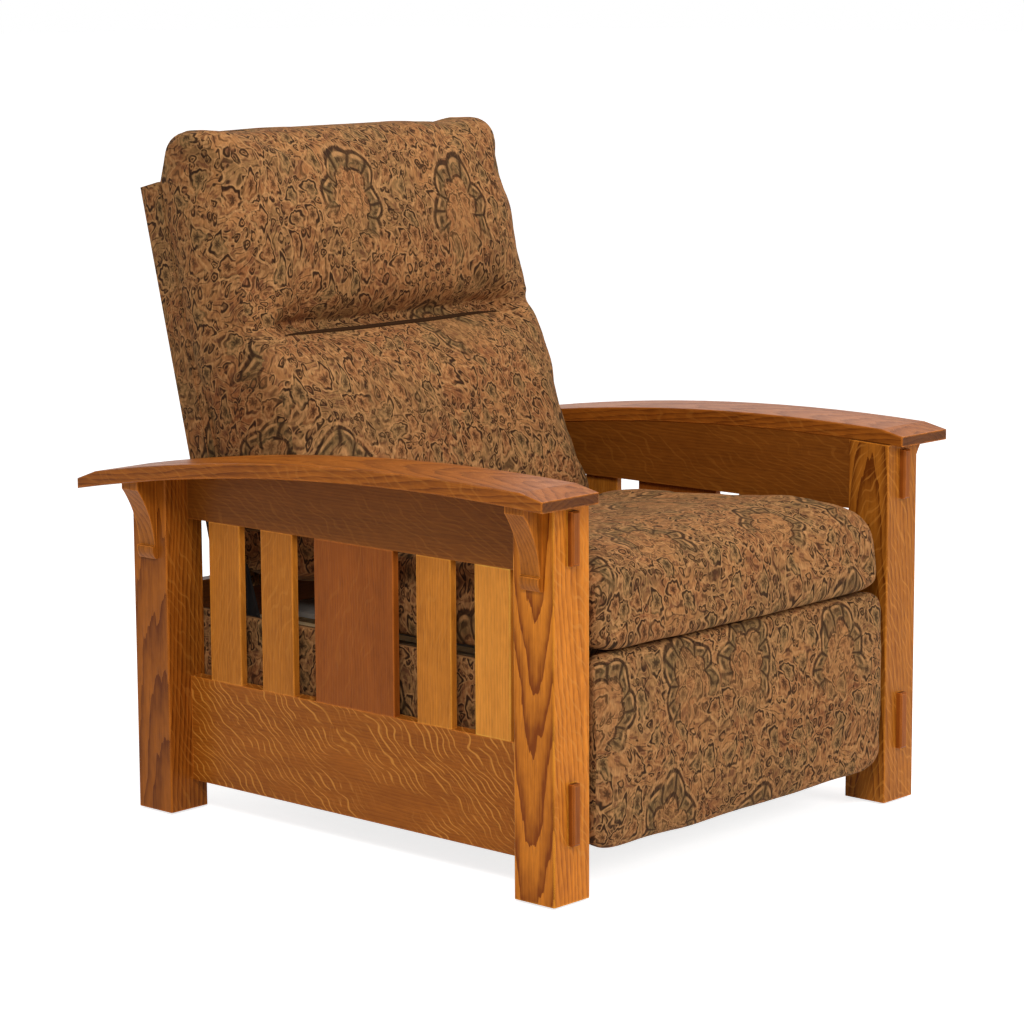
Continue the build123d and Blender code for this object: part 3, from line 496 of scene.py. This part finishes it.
pattern = weaver.blend(weaver.patches(flow, 9.0, 2.0, 0.42, 0.62), camel, rust)
green_field = weaver.patches(weaver.vector("ADD", flow, (9.0, 4.0, 0.0)), 8.0, 1.0, 0.46, 0.62)
pattern = inked(pattern, olive, green_field, 0.55)
pattern = inked(pattern, maroon, weaver.patches(curl, 85.0, 2.0, 0.47, 0.62), 0.75)
honey_field = weaver.patches(weaver.vector("ADD", curl, (2.0, 7.0, 0.0)), 78.0, 2.0, 0.52, 0.66)
pattern = inked(pattern, honey, honey_field, 0.60)

contour = weaver.math("PINGPONG", weaver.math("MULTIPLY", weaver.noise(curl, 12.0, 2.0), 15.0), 0.5)
pattern = inked(pattern, umber, weaver.between(contour, 0.05, 0.15, flip=True), brush, 0.65)
pattern = inked(pattern, honey, ring_line(contour, 0.24, 0.09), 0.22)

crumb_place, crumb_hue = motif(curl, scale=74.0, tall=1.6, chance=0.9, twist=3.0, shift=(0.7, 0.3, 0.0))
crumb = petal(crumb_place, hook=0.8, taper=0.6)
crumb_red, crumb_green, _ = weaver.parts(crumb_hue)
crumb_shown = weaver.between(crumb_red, 0.24, 0.28)
crumb_filled = weaver.between(crumb_green, 0.40, 0.45)
pattern = inked(pattern, honey, ring_line(crumb, 0.36, 0.080), crumb_shown, 0.45)
pattern = inked(pattern, umber, ring_line(crumb, 0.25, 0.105), crumb_shown, brush, 0.90)
pattern = inked(pattern, umber, weaver.between(crumb, 0.07, 0.13, flip=True), crumb_filled, 0.85)

leaf_place, leaf_hue = motif(turned_flow, scale=29.0, tall=1.5, chance=0.70, twist=2.6, shift=(0.0, 0.0, 0.0))
leaf_turn = angle(leaf_place)
lobes = weaver.math("COSINE", weaver.math("MULTIPLY", leaf_turn, 7.0))
leaf = weaver.math("MULTIPLY_ADD", lobes, 0.026, petal(leaf_place, hook=1.1, taper=1.3))
leaf_red, leaf_green, _ = weaver.parts(leaf_hue)
leaf_shown = weaver.between(leaf_red, 0.22, 0.26)
leaf_fill = weaver.blend(weaver.between(leaf_green, 0.45, 0.60), olive, rust)
stroke = weaver.between(weaver.math("SINE", weaver.math("ADD", leaf_turn, 0.9)), -0.75, 0.05)
stroke = weaver.math("MULTIPLY", stroke, firm_brush)
pattern = inked(pattern, leaf_fill, weaver.between(leaf, 0.25, 0.28, flip=True), leaf_shown, 0.55)
pattern = inked(pattern, honey, ring_line(leaf, 0.340, 0.045), leaf_shown, 0.60)
pattern = inked(pattern, umber, ring_line(leaf, 0.275, 0.058), leaf_shown, stroke, 0.95)
pattern = inked(pattern, honey, ring_line(leaf, 0.19, 0.04), leaf_shown, 0.45)
pattern = inked(pattern, umber, weaver.between(leaf, 0.06, 0.11, flip=True), leaf_shown, 0.70)

bloom_place, bloom_hue = motif(flow, scale=5.0, tall=1.20, chance=0.65, twist=1.2, shift=(0.31, 0.17, 0.0))
bloom_turn = angle(bloom_place)
bloom = petal(bloom_place, hook=0.25, taper=0.35)
bloom = weaver.math("MULTIPLY_ADD", waves(bloom_turn, 3.5), -0.045, bloom)
bloom_shown = weaver.between(weaver.parts(bloom_hue)[0], 0.34, 0.38)
arch = weaver.math("MULTIPLY", weaver.between(weaver.parts(bloom_place)[1], -0.22, -0.06), bloom_shown)
beads = waves(bloom_turn, 7.0)
bead_gaps = weaver.between(beads, 0.12, 0.42, flip=True)
bead_hearts = weaver.between(beads, 0.60, 0.90)
bead_rims = weaver.between(beads, 0.45, 0.80)
pattern = inked(pattern, camel, weaver.between(bloom, 0.15, 0.18, flip=True), bloom_shown, 0.25)
pattern = inked(pattern, olive, ring_line(bloom, 0.220, 0.060), arch, 0.60)
pattern = inked(pattern, umber, ring_line(bloom, 0.220, 0.066), bead_gaps, arch, 0.85)
pattern = inked(pattern, umber, ring_line(bloom, 0.220, 0.018), bead_hearts, arch, brush, 0.70)
pattern = inked(pattern, honey, ring_line(bloom, 0.250, 0.014), bead_rims, arch, 0.70)
pattern = inked(pattern, umber, ring_line(bloom, 0.272, 0.018), arch, firm_brush, 0.85)
pattern = inked(pattern, umber, ring_line(bloom, 0.168, 0.014), arch, brush, 0.80)
pattern = inked(pattern, honey, ring_line(bloom, 0.300, 0.014), arch, 0.45)

thread_x, thread_y, _ = weaver.parts(cloth_place)
warp = weaver.math("SINE", weaver.math("MULTIPLY", thread_x, warp_waves))
weft = weaver.math("SINE", weaver.math("MULTIPLY", thread_y, weft_waves))
weave = weaver.math("MULTIPLY", warp, weft)
slub = weaver.streaks(cloth_place, (900.0, 160.0, 1.0))
strand = weaver.streaks(cloth_place, (330.0, 70.0, 1.0))
speck = weaver.math("MULTIPLY_ADD", slub, 0.50, weaver.math("MULTIPLY_ADD", weave, 0.06, 0.13))
speck = weaver.math("MULTIPLY_ADD", strand, 1.05, speck)
weaver.feed(result, {
    "Color": weaver.blend(1.0, pattern, weaver.whole(speck, speck, speck), how="MULTIPLY"),
    "Height": weaver.math("MULTIPLY_ADD", slub, 0.6, weaver.math("MULTIPLY", weave, 0.4)),
    "Roughness": weaver.math("MULTIPLY_ADD", slub, 0.10, 0.78),
})


def tapestry_cloth(name, start):
    """The tapestry laid on a piece's own cloth coordinates, from a starting place in its repeat."""
    material, weaver, shader = new_material(name)
    laid = weaver.node("ShaderNodeUVMap", uv_map="cloth").outputs["UV"]
    given = {"Vector": weaver.vector("ADD", laid, start)}
    printed = weaver.node("ShaderNodeGroup", given, node_tree=tapestry).outputs
    weaver.feed(shader, {
        "Base Color": printed["Color"],
        "Roughness": printed["Roughness"],
        "Normal": weaver.bump(printed["Height"], strength=0.5, distance=0.0007),
        "Specular IOR Level": 0.10,
        "Sheen Weight": 0.10,
        "Sheen Roughness": 0.5,
        "Sheen Tint": honey,
    })
    return material


# The seat cushion: a foam core in a wrap of fibre, inside a tight cover whose top runs over the nose in one
# piece. It is filled by blowing up the CAD form as cloth, a little at a time, until the cover is taut, and
# then sags towards the rear, where it is sat in.
weld_reach = 0.00002
filling_frames = 20
rumple_phase = 1.7
side_facing = 0.72
side_shift = 0.9


def raw_form(name, *sources):
    """A piece joined from the merged meshes of CAD nodes."""
    form = bmesh.new()
    for source in sources:
        form.from_mesh(nodes[source].data)
    bmesh.ops.remove_doubles(form, verts=form.verts, dist=weld_reach)
    piece = new_piece(name, [], [])
    form.to_mesh(piece.data)
    form.free()
    return piece


def apply_modifier(piece, modifier):
    """The modifier's result becomes the piece's mesh."""
    bpy.context.view_layer.objects.active = piece
    bpy.ops.object.modifier_apply(modifier=modifier.name)


def remeshed(piece, voxel, rounds=6):
    """The piece as an even skin of small squares, smoothed for some rounds."""
    remesh = piece.modifiers.new("remesh", "REMESH")
    remesh.mode = "VOXEL"
    remesh.voxel_size = voxel
    apply_modifier(piece, remesh)
    smooth = piece.modifiers.new("smooth", "SMOOTH")
    smooth.factor = 0.5
    smooth.iterations = rounds
    apply_modifier(piece, smooth)


def skin(piece, kind="co"):
    """An array of what each vertex of a piece has: its place, or with "normal" its normal."""
    values = np.empty(len(piece.data.vertices) * 3)
    piece.data.vertices.foreach_get(kind, values)
    return values.reshape(-1, 3)


def set_skin(piece, points):
    """Moves the vertices of a piece to an array of places."""
    piece.data.vertices.foreach_set("co", points.ravel())
    piece.data.update()


def ramp(values, start, reach):
    """clip((value - start) / reach, 0, 1)."""
    return np.clip((values - start) / reach, 0.0, 1.0)


def fitted(piece, low, high):
    """Stretches a piece to fill a box: low + (point - least) (high - low) / (most - least) on each axis."""
    points = skin(piece)
    least, most = points.min(axis=0), points.max(axis=0)
    set_skin(piece, np.array(low) + (points - least) * (np.array(high) - np.array(low)) / (most - least))


def filled(piece, shrink, pressure, cap, held=None):
    """Cloth under air pressure: a point moves by cap x tanh(way / cap), so none goes further than the cap.
    It starts from the skin drawn in by shrink x clip(1 + 2 normal z, 0, 1), which leaves the underside."""
    normals = skin(piece, "normal")
    start = skin(piece) - shrink * np.clip(1 + 2 * normals[:, 2:], 0.0, 1.0) * normals
    set_skin(piece, start)
    cloth = piece.modifiers.new("filling", "CLOTH")
    settings = cloth.settings
    settings.quality = 4
    settings.mass = 0.25
    settings.tension_stiffness = 12.0
    settings.compression_stiffness = 12.0
    settings.shear_stiffness = 4.0
    settings.bending_stiffness = 0.8
    settings.use_pressure = True
    settings.uniform_pressure_force = pressure
    settings.effector_weights.gravity = 0.0
    if held is not None:
        group = piece.vertex_groups.new(name="held")
        group.add(np.flatnonzero(held).tolist(), 1.0, "REPLACE")
        settings.vertex_group_mass = "held"
    for moment in range(1, filling_frames + 1):
        bpy.context.scene.frame_set(moment)
    step = skin(piece.evaluated_get(bpy.context.evaluated_depsgraph_get())) - start
    piece.modifiers.remove(cloth)
    bpy.context.scene.frame_set(1)
    way = np.linalg.norm(step, axis=1, keepdims=True) + 1e-9
    set_skin(piece, start + step / way * cap * np.tanh(way / cap))


def rumpled(piece, height, waves):
    """Unevenness of hand filling: each point moves along its normal by height x a mean of slanted sines."""
    points, normals = skin(piece), skin(piece, "normal")
    total = np.zeros(len(points))
    for number, wave in enumerate(waves):
        total += np.sin(points @ np.array(wave) + rumple_phase * number)
    set_skin(piece, points + normals * (height * total / len(waves))[:, None])


def lay_cloth(piece, wrap):
    """Cloth coordinates in metres. Faces that look sideways take (y + shift, z), all others (x, wrap)."""
    mesh = piece.data
    layer = mesh.uv_layers.new(name="cloth")
    corners = np.empty(len(mesh.loops), dtype=np.int32)
    mesh.loops.foreach_get("vertex_index", corners)
    counts = np.empty(len(mesh.polygons), dtype=np.int32)
    mesh.polygons.foreach_get("loop_total", counts)
    facing = np.empty(len(mesh.polygons) * 3)
    mesh.polygons.foreach_get("normal", facing)
    facing = np.repeat(facing.reshape(-1, 3), counts, axis=0)
    points = skin(piece)[corners]
    sideways = np.abs(facing[:, 0]) > side_facing
    u = np.where(sideways, points[:, 1] + side_shift * np.sign(facing[:, 0]), points[:, 0])
    v = np.where(sideways, points[:, 2], wrap(points))
    layer.data.foreach_set("uv", np.stack((u, v), axis=1).ravel())


def smooth_shading(piece, smooth):
    """All faces of a piece shaded smooth or flat."""
    piece.data.polygons.foreach_set("use_smooth", np.full(len(piece.data.polygons), smooth))


def finish_soft(piece, material, body, fill, slot, *replaced):
    """One subdivision, smooth shading, the cloth, the body it rides on and the nodes it stands for."""
    round_off = piece.modifiers.new("round_off", "SUBSURF")
    round_off.levels = round_off.render_levels = 1
    smooth_shading(piece, True)
    piece.data.materials.clear()
    piece.data.materials.append(material)
    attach(piece, body)
    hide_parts(*replaced)


seat_top_start, seat_top_reach = 0.40, 0.08
seat_front_sag = 0.003
seat_rear_sag = 0.024
seat_side_lift = 0.013
seat_side_start, seat_side_reach = 0.19, 0.11
edge_reach = 0.05
edge_squeeze = 0.6
seat_cover = raw_form("seat_cover", "seat_cushion")
remeshed(seat_cover, voxel=0.0075)
underside = skin(seat_cover, "normal")[:, 2] < -0.6
filled(seat_cover, shrink=0.005, pressure=4.0, cap=0.011, held=underside)
fitted(seat_cover, *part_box("seat_cushion"))
points = skin(seat_cover)
seat_front, seat_rear = points[:, 1].min(), points[:, 1].max()
rearward = ramp(points[:, 1], seat_front, seat_rear - seat_front)
upper = ramp(points[:, 2], seat_top_start, seat_top_reach)
sideward = ramp(np.abs(points[:, 0]), seat_side_start, seat_side_reach)
points[:, 2] -= upper * (seat_front_sag + seat_rear_sag * rearward - seat_side_lift * sideward)
height = points[:, 2] - points[:, 2].min()
points[:, 2] -= height * edge_squeeze * np.clip(1 - height / edge_reach, 0.0, 1.0)
set_skin(seat_cover, points)
rumpled(seat_cover, height=0.0016, waves=((21, 17, 9), (-14, 31, 12), (37, -9, 16), (9, 44, -20)))
lay_cloth(seat_cover, lambda points: points[:, 2] + points[:, 1])
finish_soft(seat_cover, tapestry_cloth("seat_tapestry", (0.12, 0.33, 0.0)), "seat", 0.85, "tapestry",
            "seat_cushion")

# The footrest panel: a padded board covered like the seat, its cover pulled tight round the edges.
foot_cover = raw_form("foot_cover", "footrest_pad")
remeshed(foot_cover, voxel=0.006)
filled(foot_cover, shrink=0.003, pressure=4.0, cap=0.005)
fitted(foot_cover, *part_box("footrest_pad"))
points = skin(foot_cover)
depth = points[:, 2].max() - points[:, 2]
points[:, 2] += depth * edge_squeeze * np.clip(1 - depth / edge_reach, 0.0, 1.0)
set_skin(foot_cover, points)
rumpled(foot_cover, height=0.0009, waves=((26, 5, 19), (-17, 8, 31), (41, 3, -23)))
foot_low, foot_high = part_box("footrest_pad")
foot_middle = (foot_low[2] + foot_high[2]) / 2


def foot_wrap(points):
    """z + sign(z - middle) (y - front): the cloth runs up the front and turns back over both ends."""
    return points[:, 2] + np.sign(points[:, 2] - foot_middle) * (points[:, 1] - foot_low[1])


lay_cloth(foot_cover, foot_wrap)
finish_soft(foot_cover, tapestry_cloth("foot_tapestry", (0.55, 0.10, 0.0)), "footrest", 0.8, "tapestry",
            "footrest_pad")

# The stuffed back: one cushion whose front is sewn down along a straight tuck, which stops short of both
# sides. Below the tuck it swells to support the loins, above it the head rests. It widens above the arms,
# and its sides are fuller beside the tuck.
back_lean = radians(13.7)
tuck_level = 0.741
tuck_half = 0.272
tuck_fade = 0.045
tuck_wide = 0.042
tuck_deep = 0.036
tuck_power = 1.35
stitch_half = 0.006
wide_start, wide_reach, wide_share = 0.62, 0.08, 0.028
full_start, full_reach, full_push = 0.255, 0.05, 0.016
full_level, full_half = 0.75, 0.075
full_rear, full_fade = 0.10, 0.06
back_cover = raw_form("back_cover", "lumbar_cushion", "head_pillow")
back_form = skin(back_cover)
remeshed(back_cover, voxel=0.0075)
points = skin(back_cover)
facing = skin(back_cover, "normal")
way = np.abs(points[:, 2] - tuck_level)
inner = ramp(tuck_half - np.abs(points[:, 0]), 0.0, tuck_fade)
inner = inner * inner * (3 - 2 * inner)
front_side = facing[:, 1] < -0.3
rear_side = facing[:, 1] > 0.8
pinch = np.where(front_side, inner * np.clip(1 - way / tuck_wide, 0.0, 1.0) ** tuck_power, 0.0)
points[:, 1] += tuck_deep * pinch
set_skin(back_cover, points)
sewn = front_side & (way < stitch_half) & (inner > 0.5)
filled(back_cover, shrink=0.007, pressure=4.0, cap=0.014, held=sewn | rear_side)
fitted(back_cover, back_form.min(axis=0), back_form.max(axis=0))
points = skin(back_cover)
above_arms = ramp(points[:, 2], wide_start, wide_reach)
beside_tuck = ramp(np.abs(points[:, 0]), full_start, full_reach)
beside_tuck *= np.exp(-((points[:, 2] - full_level) / full_half) ** 2)
ahead = ramp(points[:, 1].max() - full_rear - points[:, 1], 0.0, full_fade)
points[:, 0] *= 1 + wide_share * above_arms
points[:, 1] -= full_push * beside_tuck * ahead
set_skin(back_cover, points)
rumpled(back_cover, height=0.0018, waves=((19, 11, 15), (-12, 9, 29), (33, -7, 13), (7, 5, -38)))
ray_start = -0.6
profile_low, profile_high, profile_steps = 0.37, 1.04, 240


def front_depth(x, z):
    """The y at which a ray from the front meets the back's cover at (x, z)."""
    return back_cover.ray_cast(Vector((x, ray_start, z)), Vector((0.0, 1.0, 0.0)))[1].y


profile_z = np.linspace(profile_low, profile_high, profile_steps)
profile_y = np.array([front_depth(0.0, z) for z in profile_z])
profile_run = np.concatenate(([0.0], np.cumsum(np.hypot(np.diff(profile_z), np.diff(profile_y)))))
points = skin(back_cover)
crest = points[points[:, 2].argmax()]


def back_wrap(points):
    """Run of the cloth: length along the middle of the front up to a height, plus the way back from the
    front. Behind the crest it is the crest's run + crest z - z, so that the cloth hangs down the rear."""
    run = np.interp(points[:, 2], profile_z, profile_run)
    run += np.maximum(points[:, 1] - np.interp(points[:, 2], profile_z, profile_y), 0.0)
    crest_run = profile_run[-1] + crest[1] - profile_y[-1]
    behind = points[:, 1] > crest[1] + np.tan(back_lean) * (points[:, 2] - crest[2])
    return np.where(behind, crest_run + crest[2] - points[:, 2], run)


lay_cloth(back_cover, back_wrap)
finish_soft(back_cover, tapestry_cloth("back_tapestry", (0.05, 0.62, 0.0)), "back", 0.75, "tapestry",
            "lumbar_cushion", "head_pillow")

# The tuck's seam: a thin dark welt along the bottom of the tuck, tapered at both ends, which is painted shade
# of the crease where the cushion above overhangs.
welt_radius = 0.0042
welt_tip = 0.0002
welt_half = tuck_half - tuck_fade * 0.55
welt_sides = 8
welt_stations = 81


def shade_welt_form():
    """Rings round a line through (x, deepest cloth, level), with radius r (1 - (x / half)^6) + tip."""
    turn = np.arange(welt_sides) * 2 * np.pi / welt_sides
    rings = []
    for x in np.linspace(-welt_half, welt_half, welt_stations):
        radius = welt_radius * (1 - (x / welt_half) ** 6) + welt_tip
        y, z = front_depth(x, tuck_level) + radius * np.cos(turn), tuck_level + radius * np.sin(turn)
        rings.append(np.stack((np.full(welt_sides, x), y, z), axis=1))
    near = np.arange(welt_sides)
    after = (near + 1) % welt_sides
    row = np.arange(welt_stations - 1)[:, None] * welt_sides
    next_row = row + welt_sides
    faces = np.stack((row + near, next_row + near, next_row + after, row + after), axis=-1)
    last = (welt_stations - 1) * welt_sides
    ends = [near.tolist(), (last + near[::-1]).tolist()]
    return np.concatenate(rings).tolist(), faces.reshape(-1, 4).tolist() + ends


tuck_shade_welt = new_piece("tuck_shade_welt", *shade_welt_form())
# Its dark brown, darker than the cloth, is painted shade.
shade_welt_yarn, weaver, shader = new_material("shade_welt_yarn")
twist = weaver.noise(weaver.node("ShaderNodeTexCoord").outputs["Object"], 700.0, 2.0)
weaver.feed(shader, {"Base Color": weaver.blend(twist, dye(40, 24, 12), dye(62, 39, 21)), "Roughness": 0.9,
                     "Specular IOR Level": 0.05})
tuck_shade_welt.data.materials.append(shade_welt_yarn)
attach(tuck_shade_welt, "back")

# The back's shell: a shallow tray of board and webbing behind the cushion, covered in the same cloth, with
# flat sides and rolled edges.
shell_cover = raw_form("shell_cover", "back_shell")
flat = bmesh.new()
flat.from_mesh(shell_cover.data)
bmesh.ops.dissolve_limit(flat, angle_limit=radians(1), verts=flat.verts, edges=flat.edges)
flat.to_mesh(shell_cover.data)
flat.free()
roll = shell_cover.modifiers.new("roll", "BEVEL")
roll.width = 0.0034
roll.segments = 4
apply_modifier(shell_cover, roll)
lay_cloth(shell_cover, lambda points: points[:, 2] + 0.8 * points[:, 1])
finish_soft(shell_cover, tapestry_cloth("shell_tapestry", (0.41, 0.27, 0.0)), "back", 0.9, "tapestry",
            "back_shell")
shell_cover.modifiers.clear()
smooth_shading(shell_cover, False)

# The back's gussets: narrow strips of the cloth that close the joint between the shell's rim and the cushion.
# The shell's rear top corner lies lower than its front one by the drop.
gusset_drop = 0.0102
gusset_up = (0.19, 0.628)
gusset_ahead = (0.039, 0.058)
gusset_wide = (0.323, 0.3318)
gusset_low, gusset_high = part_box("back_shell")


def gusset_form():
    """Two slabs between widths, with corners at foot + up (sin, cos) + ahead (-cos, sin) of the lean."""
    foot_y = gusset_high[1] - (gusset_high[2] - gusset_low[2] - gusset_drop) * np.tan(back_lean)
    corners = []
    for side in (1, -1):
        for x in gusset_wide:
            for up in gusset_up:
                for ahead in gusset_ahead:
                    y = foot_y + up * np.sin(back_lean) - ahead * np.cos(back_lean)
                    z = gusset_low[2] + up * np.cos(back_lean) + ahead * np.sin(back_lean)
                    corners.append((side * x, y, z))
    faces = [(0, 1, 3, 2), (4, 6, 7, 5), (0, 4, 5, 1), (2, 3, 7, 6), (1, 5, 7, 3), (0, 2, 6, 4)]
    return corners, faces + [tuple(8 + place for place in face) for face in faces]


back_gussets = new_piece("back_gussets", *gusset_form())
form = bmesh.new()
form.from_mesh(back_gussets.data)
bmesh.ops.recalc_face_normals(form, faces=form.faces)
form.to_mesh(back_gussets.data)
form.free()
lay_cloth(back_gussets, lambda points: points[:, 2])
back_gussets.data.materials.append(shell_cover.data.materials[0])
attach(back_gussets, "back")

# The side boards: covered boards inside the slats, thinly padded, with the cloth pulled round their edges.
for side, start in (("left", (0.2, 0.1, 0.0)), ("right", (0.7, 0.5, 0.0))):
    board_cover = raw_form(f"{side}_board_cover", f"{side}_side_board")
    remeshed(board_cover, voxel=0.005)
    rumpled(board_cover, height=0.0004, waves=((11, 23, 31), (5, -37, 19)))
    lay_cloth(board_cover, lambda points: points[:, 2] + points[:, 0])
    board_cloth = tapestry_cloth(f"{side}_board_tapestry", start)
    finish_soft(board_cover, board_cloth, "frame", 0.95, "side_cover", f"{side}_side_board")
    board_cover.modifiers.clear()

# The seat deck: a pad of pressed grey felt over the springs, which dips a little between them.
deck_low, deck_high = [np.array(corner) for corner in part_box("seat_deck")]
deck_cells = 60
deck_dips = 9
deck_dip = 0.001
deck_clear = 0.0015


def felt_sheet():
    """A sheet at deck level, z = top - dip (1 - cos(dips x 2 pi u)) / 2, with u from 0 to 1 across it."""
    steps = np.linspace(0, 1, deck_cells + 1)
    across, along = np.meshgrid(steps, steps, indexing="ij")
    x = deck_low[0] + across * (deck_high[0] - deck_low[0])
    y = deck_low[1] + along * (deck_high[1] - deck_low[1])
    z = deck_high[2] - deck_dip * (1 - np.cos(deck_dips * 2 * np.pi * across)) / 2
    row = deck_cells + 1
    corner = np.arange(deck_cells * row).reshape(deck_cells, row)[:, :-1].ravel()
    faces = np.stack((corner, corner + row, corner + row + 1, corner + 1), axis=1)
    return np.stack((x, y, z), axis=-1).reshape(-1, 3).tolist(), faces.tolist()


deck_felt = new_piece("deck_felt", *felt_sheet())
body = deck_felt.modifiers.new("body", "SOLIDIFY")
body.thickness = deck_high[2] - deck_low[2] - deck_clear
body.offset = -1.0
felt, weaver, shader = new_material("grey_felt")
place = weaver.node("ShaderNodeTexCoord").outputs["Object"]
hairs = weaver.noise(place, 900.0, 3.0, 0.7)
tufts = weaver.noise(place, 60.0, 2.0)
felt_shade = weaver.math("MULTIPLY_ADD", hairs, 0.6, weaver.math("MULTIPLY", tufts, 0.4))
weaver.feed(shader, {
    "Base Color": weaver.blend(felt_shade, dye(96, 92, 86), dye(170, 166, 158)),
    "Normal": weaver.bump(hairs, strength=0.5, distance=0.001),
    "Roughness": 0.95,
})
deck_felt.data.materials.append(felt)
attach(deck_felt, "seat")
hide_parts("seat_deck")

# The hidden woodwork: plain sawn poplar boards, planed and left bare.
bare_light, bare_dark = (206, 178, 134), (166, 132, 88)
for name, order in (("seat_side_rails", "YZX"), ("seat_cross_rails", "XZY"), ("base_stretchers", "XZY"),
                    ("footrest_board", "XZY"), ("back_stiles", "ZXY"), ("back_cross_rails", "XZY")):
    finish_node(name, oak(f"{name}_poplar", order, bare_light, bare_dark, pith=(0.5, 0.2), ring=0.006))

# The mechanism: links and plates of mild steel strip, punched and dipped in black paint, which has worn
# through to bare metal in small spots, and zinc plated pins, shafts and bolts.
black_paint, weaver, shader = new_material("black_paint")
place = weaver.node("ShaderNodeTexCoord").outputs["Object"]
worn_spots = weaver.patches(place, 70.0, 4.0, 0.66, 0.74, rough=0.65)
dust = weaver.noise(place, 18.0, 3.0)
paint = weaver.blend(weaver.math("MULTIPLY", dust, 0.5), dye(20, 20, 21), dye(62, 58, 54))
weaver.feed(shader, {
    "Base Color": weaver.blend(worn_spots, paint, dye(120, 116, 110)),
    "Metallic": weaver.math("MULTIPLY", worn_spots, 0.8),
    "Roughness": weaver.math("MULTIPLY_ADD", dust, 0.25, 0.32),
    "Normal": weaver.bump(weaver.noise(place, 420.0, 1.0), strength=0.15, distance=0.0004),
})
for name in ("mechanism_plates", "swing_links", "seat_hangers", "footrest_plates", "front_links",
             "idler_links", "carry_links", "control_rods", "footrest_hinges", "back_brackets"):
    finish_node(name, black_paint)


def plated(name, pale, dark, rough):
    """Steel with a thin cloudy plating and fine turning marks."""
    material, weaver, shader = new_material(name)
    place = weaver.node("ShaderNodeTexCoord").outputs["Object"]
    marks = weaver.streaks(place, (1400.0, 120.0, 120.0), 1.0)
    weaver.feed(shader, {
        "Base Color": weaver.blend(weaver.noise(place, 55.0, 3.0), dye(*dark), dye(*pale)),
        "Roughness": weaver.math("MULTIPLY_ADD", marks, 0.20, rough),
        "Metallic": 1.0,
    })
    return material


zinc = plated("zinc_plate", (196, 196, 192), (140, 142, 142), 0.25)
for name in ("frame_pivot_pins", "seat_pivot_pins", "footrest_pins", "swing_shaft", "footrest_shaft",
             "frame_bolts"):
    finish_node(name, zinc)
wire = plated("oiled_wire", (110, 106, 100), (54, 50, 46), 0.35)
for name in ("seat_springs", "back_springs"):
    finish_node(name, wire)

# The floor glides: discs of dark nylon, scuffed where they slide.
nylon, weaver, shader = new_material("glide_nylon")
place = weaver.node("ShaderNodeTexCoord").outputs["Object"]
scuff = weaver.streaks(place, (300.0, 90.0, 90.0), 3.0)
weaver.feed(shader, {
    "Base Color": weaver.blend(scuff, dye(30, 27, 24), dye(70, 64, 58)),
    "Roughness": weaver.math("MULTIPLY_ADD", scuff, 0.3, 0.45),
})
finish_node("floor_glides", nylon)
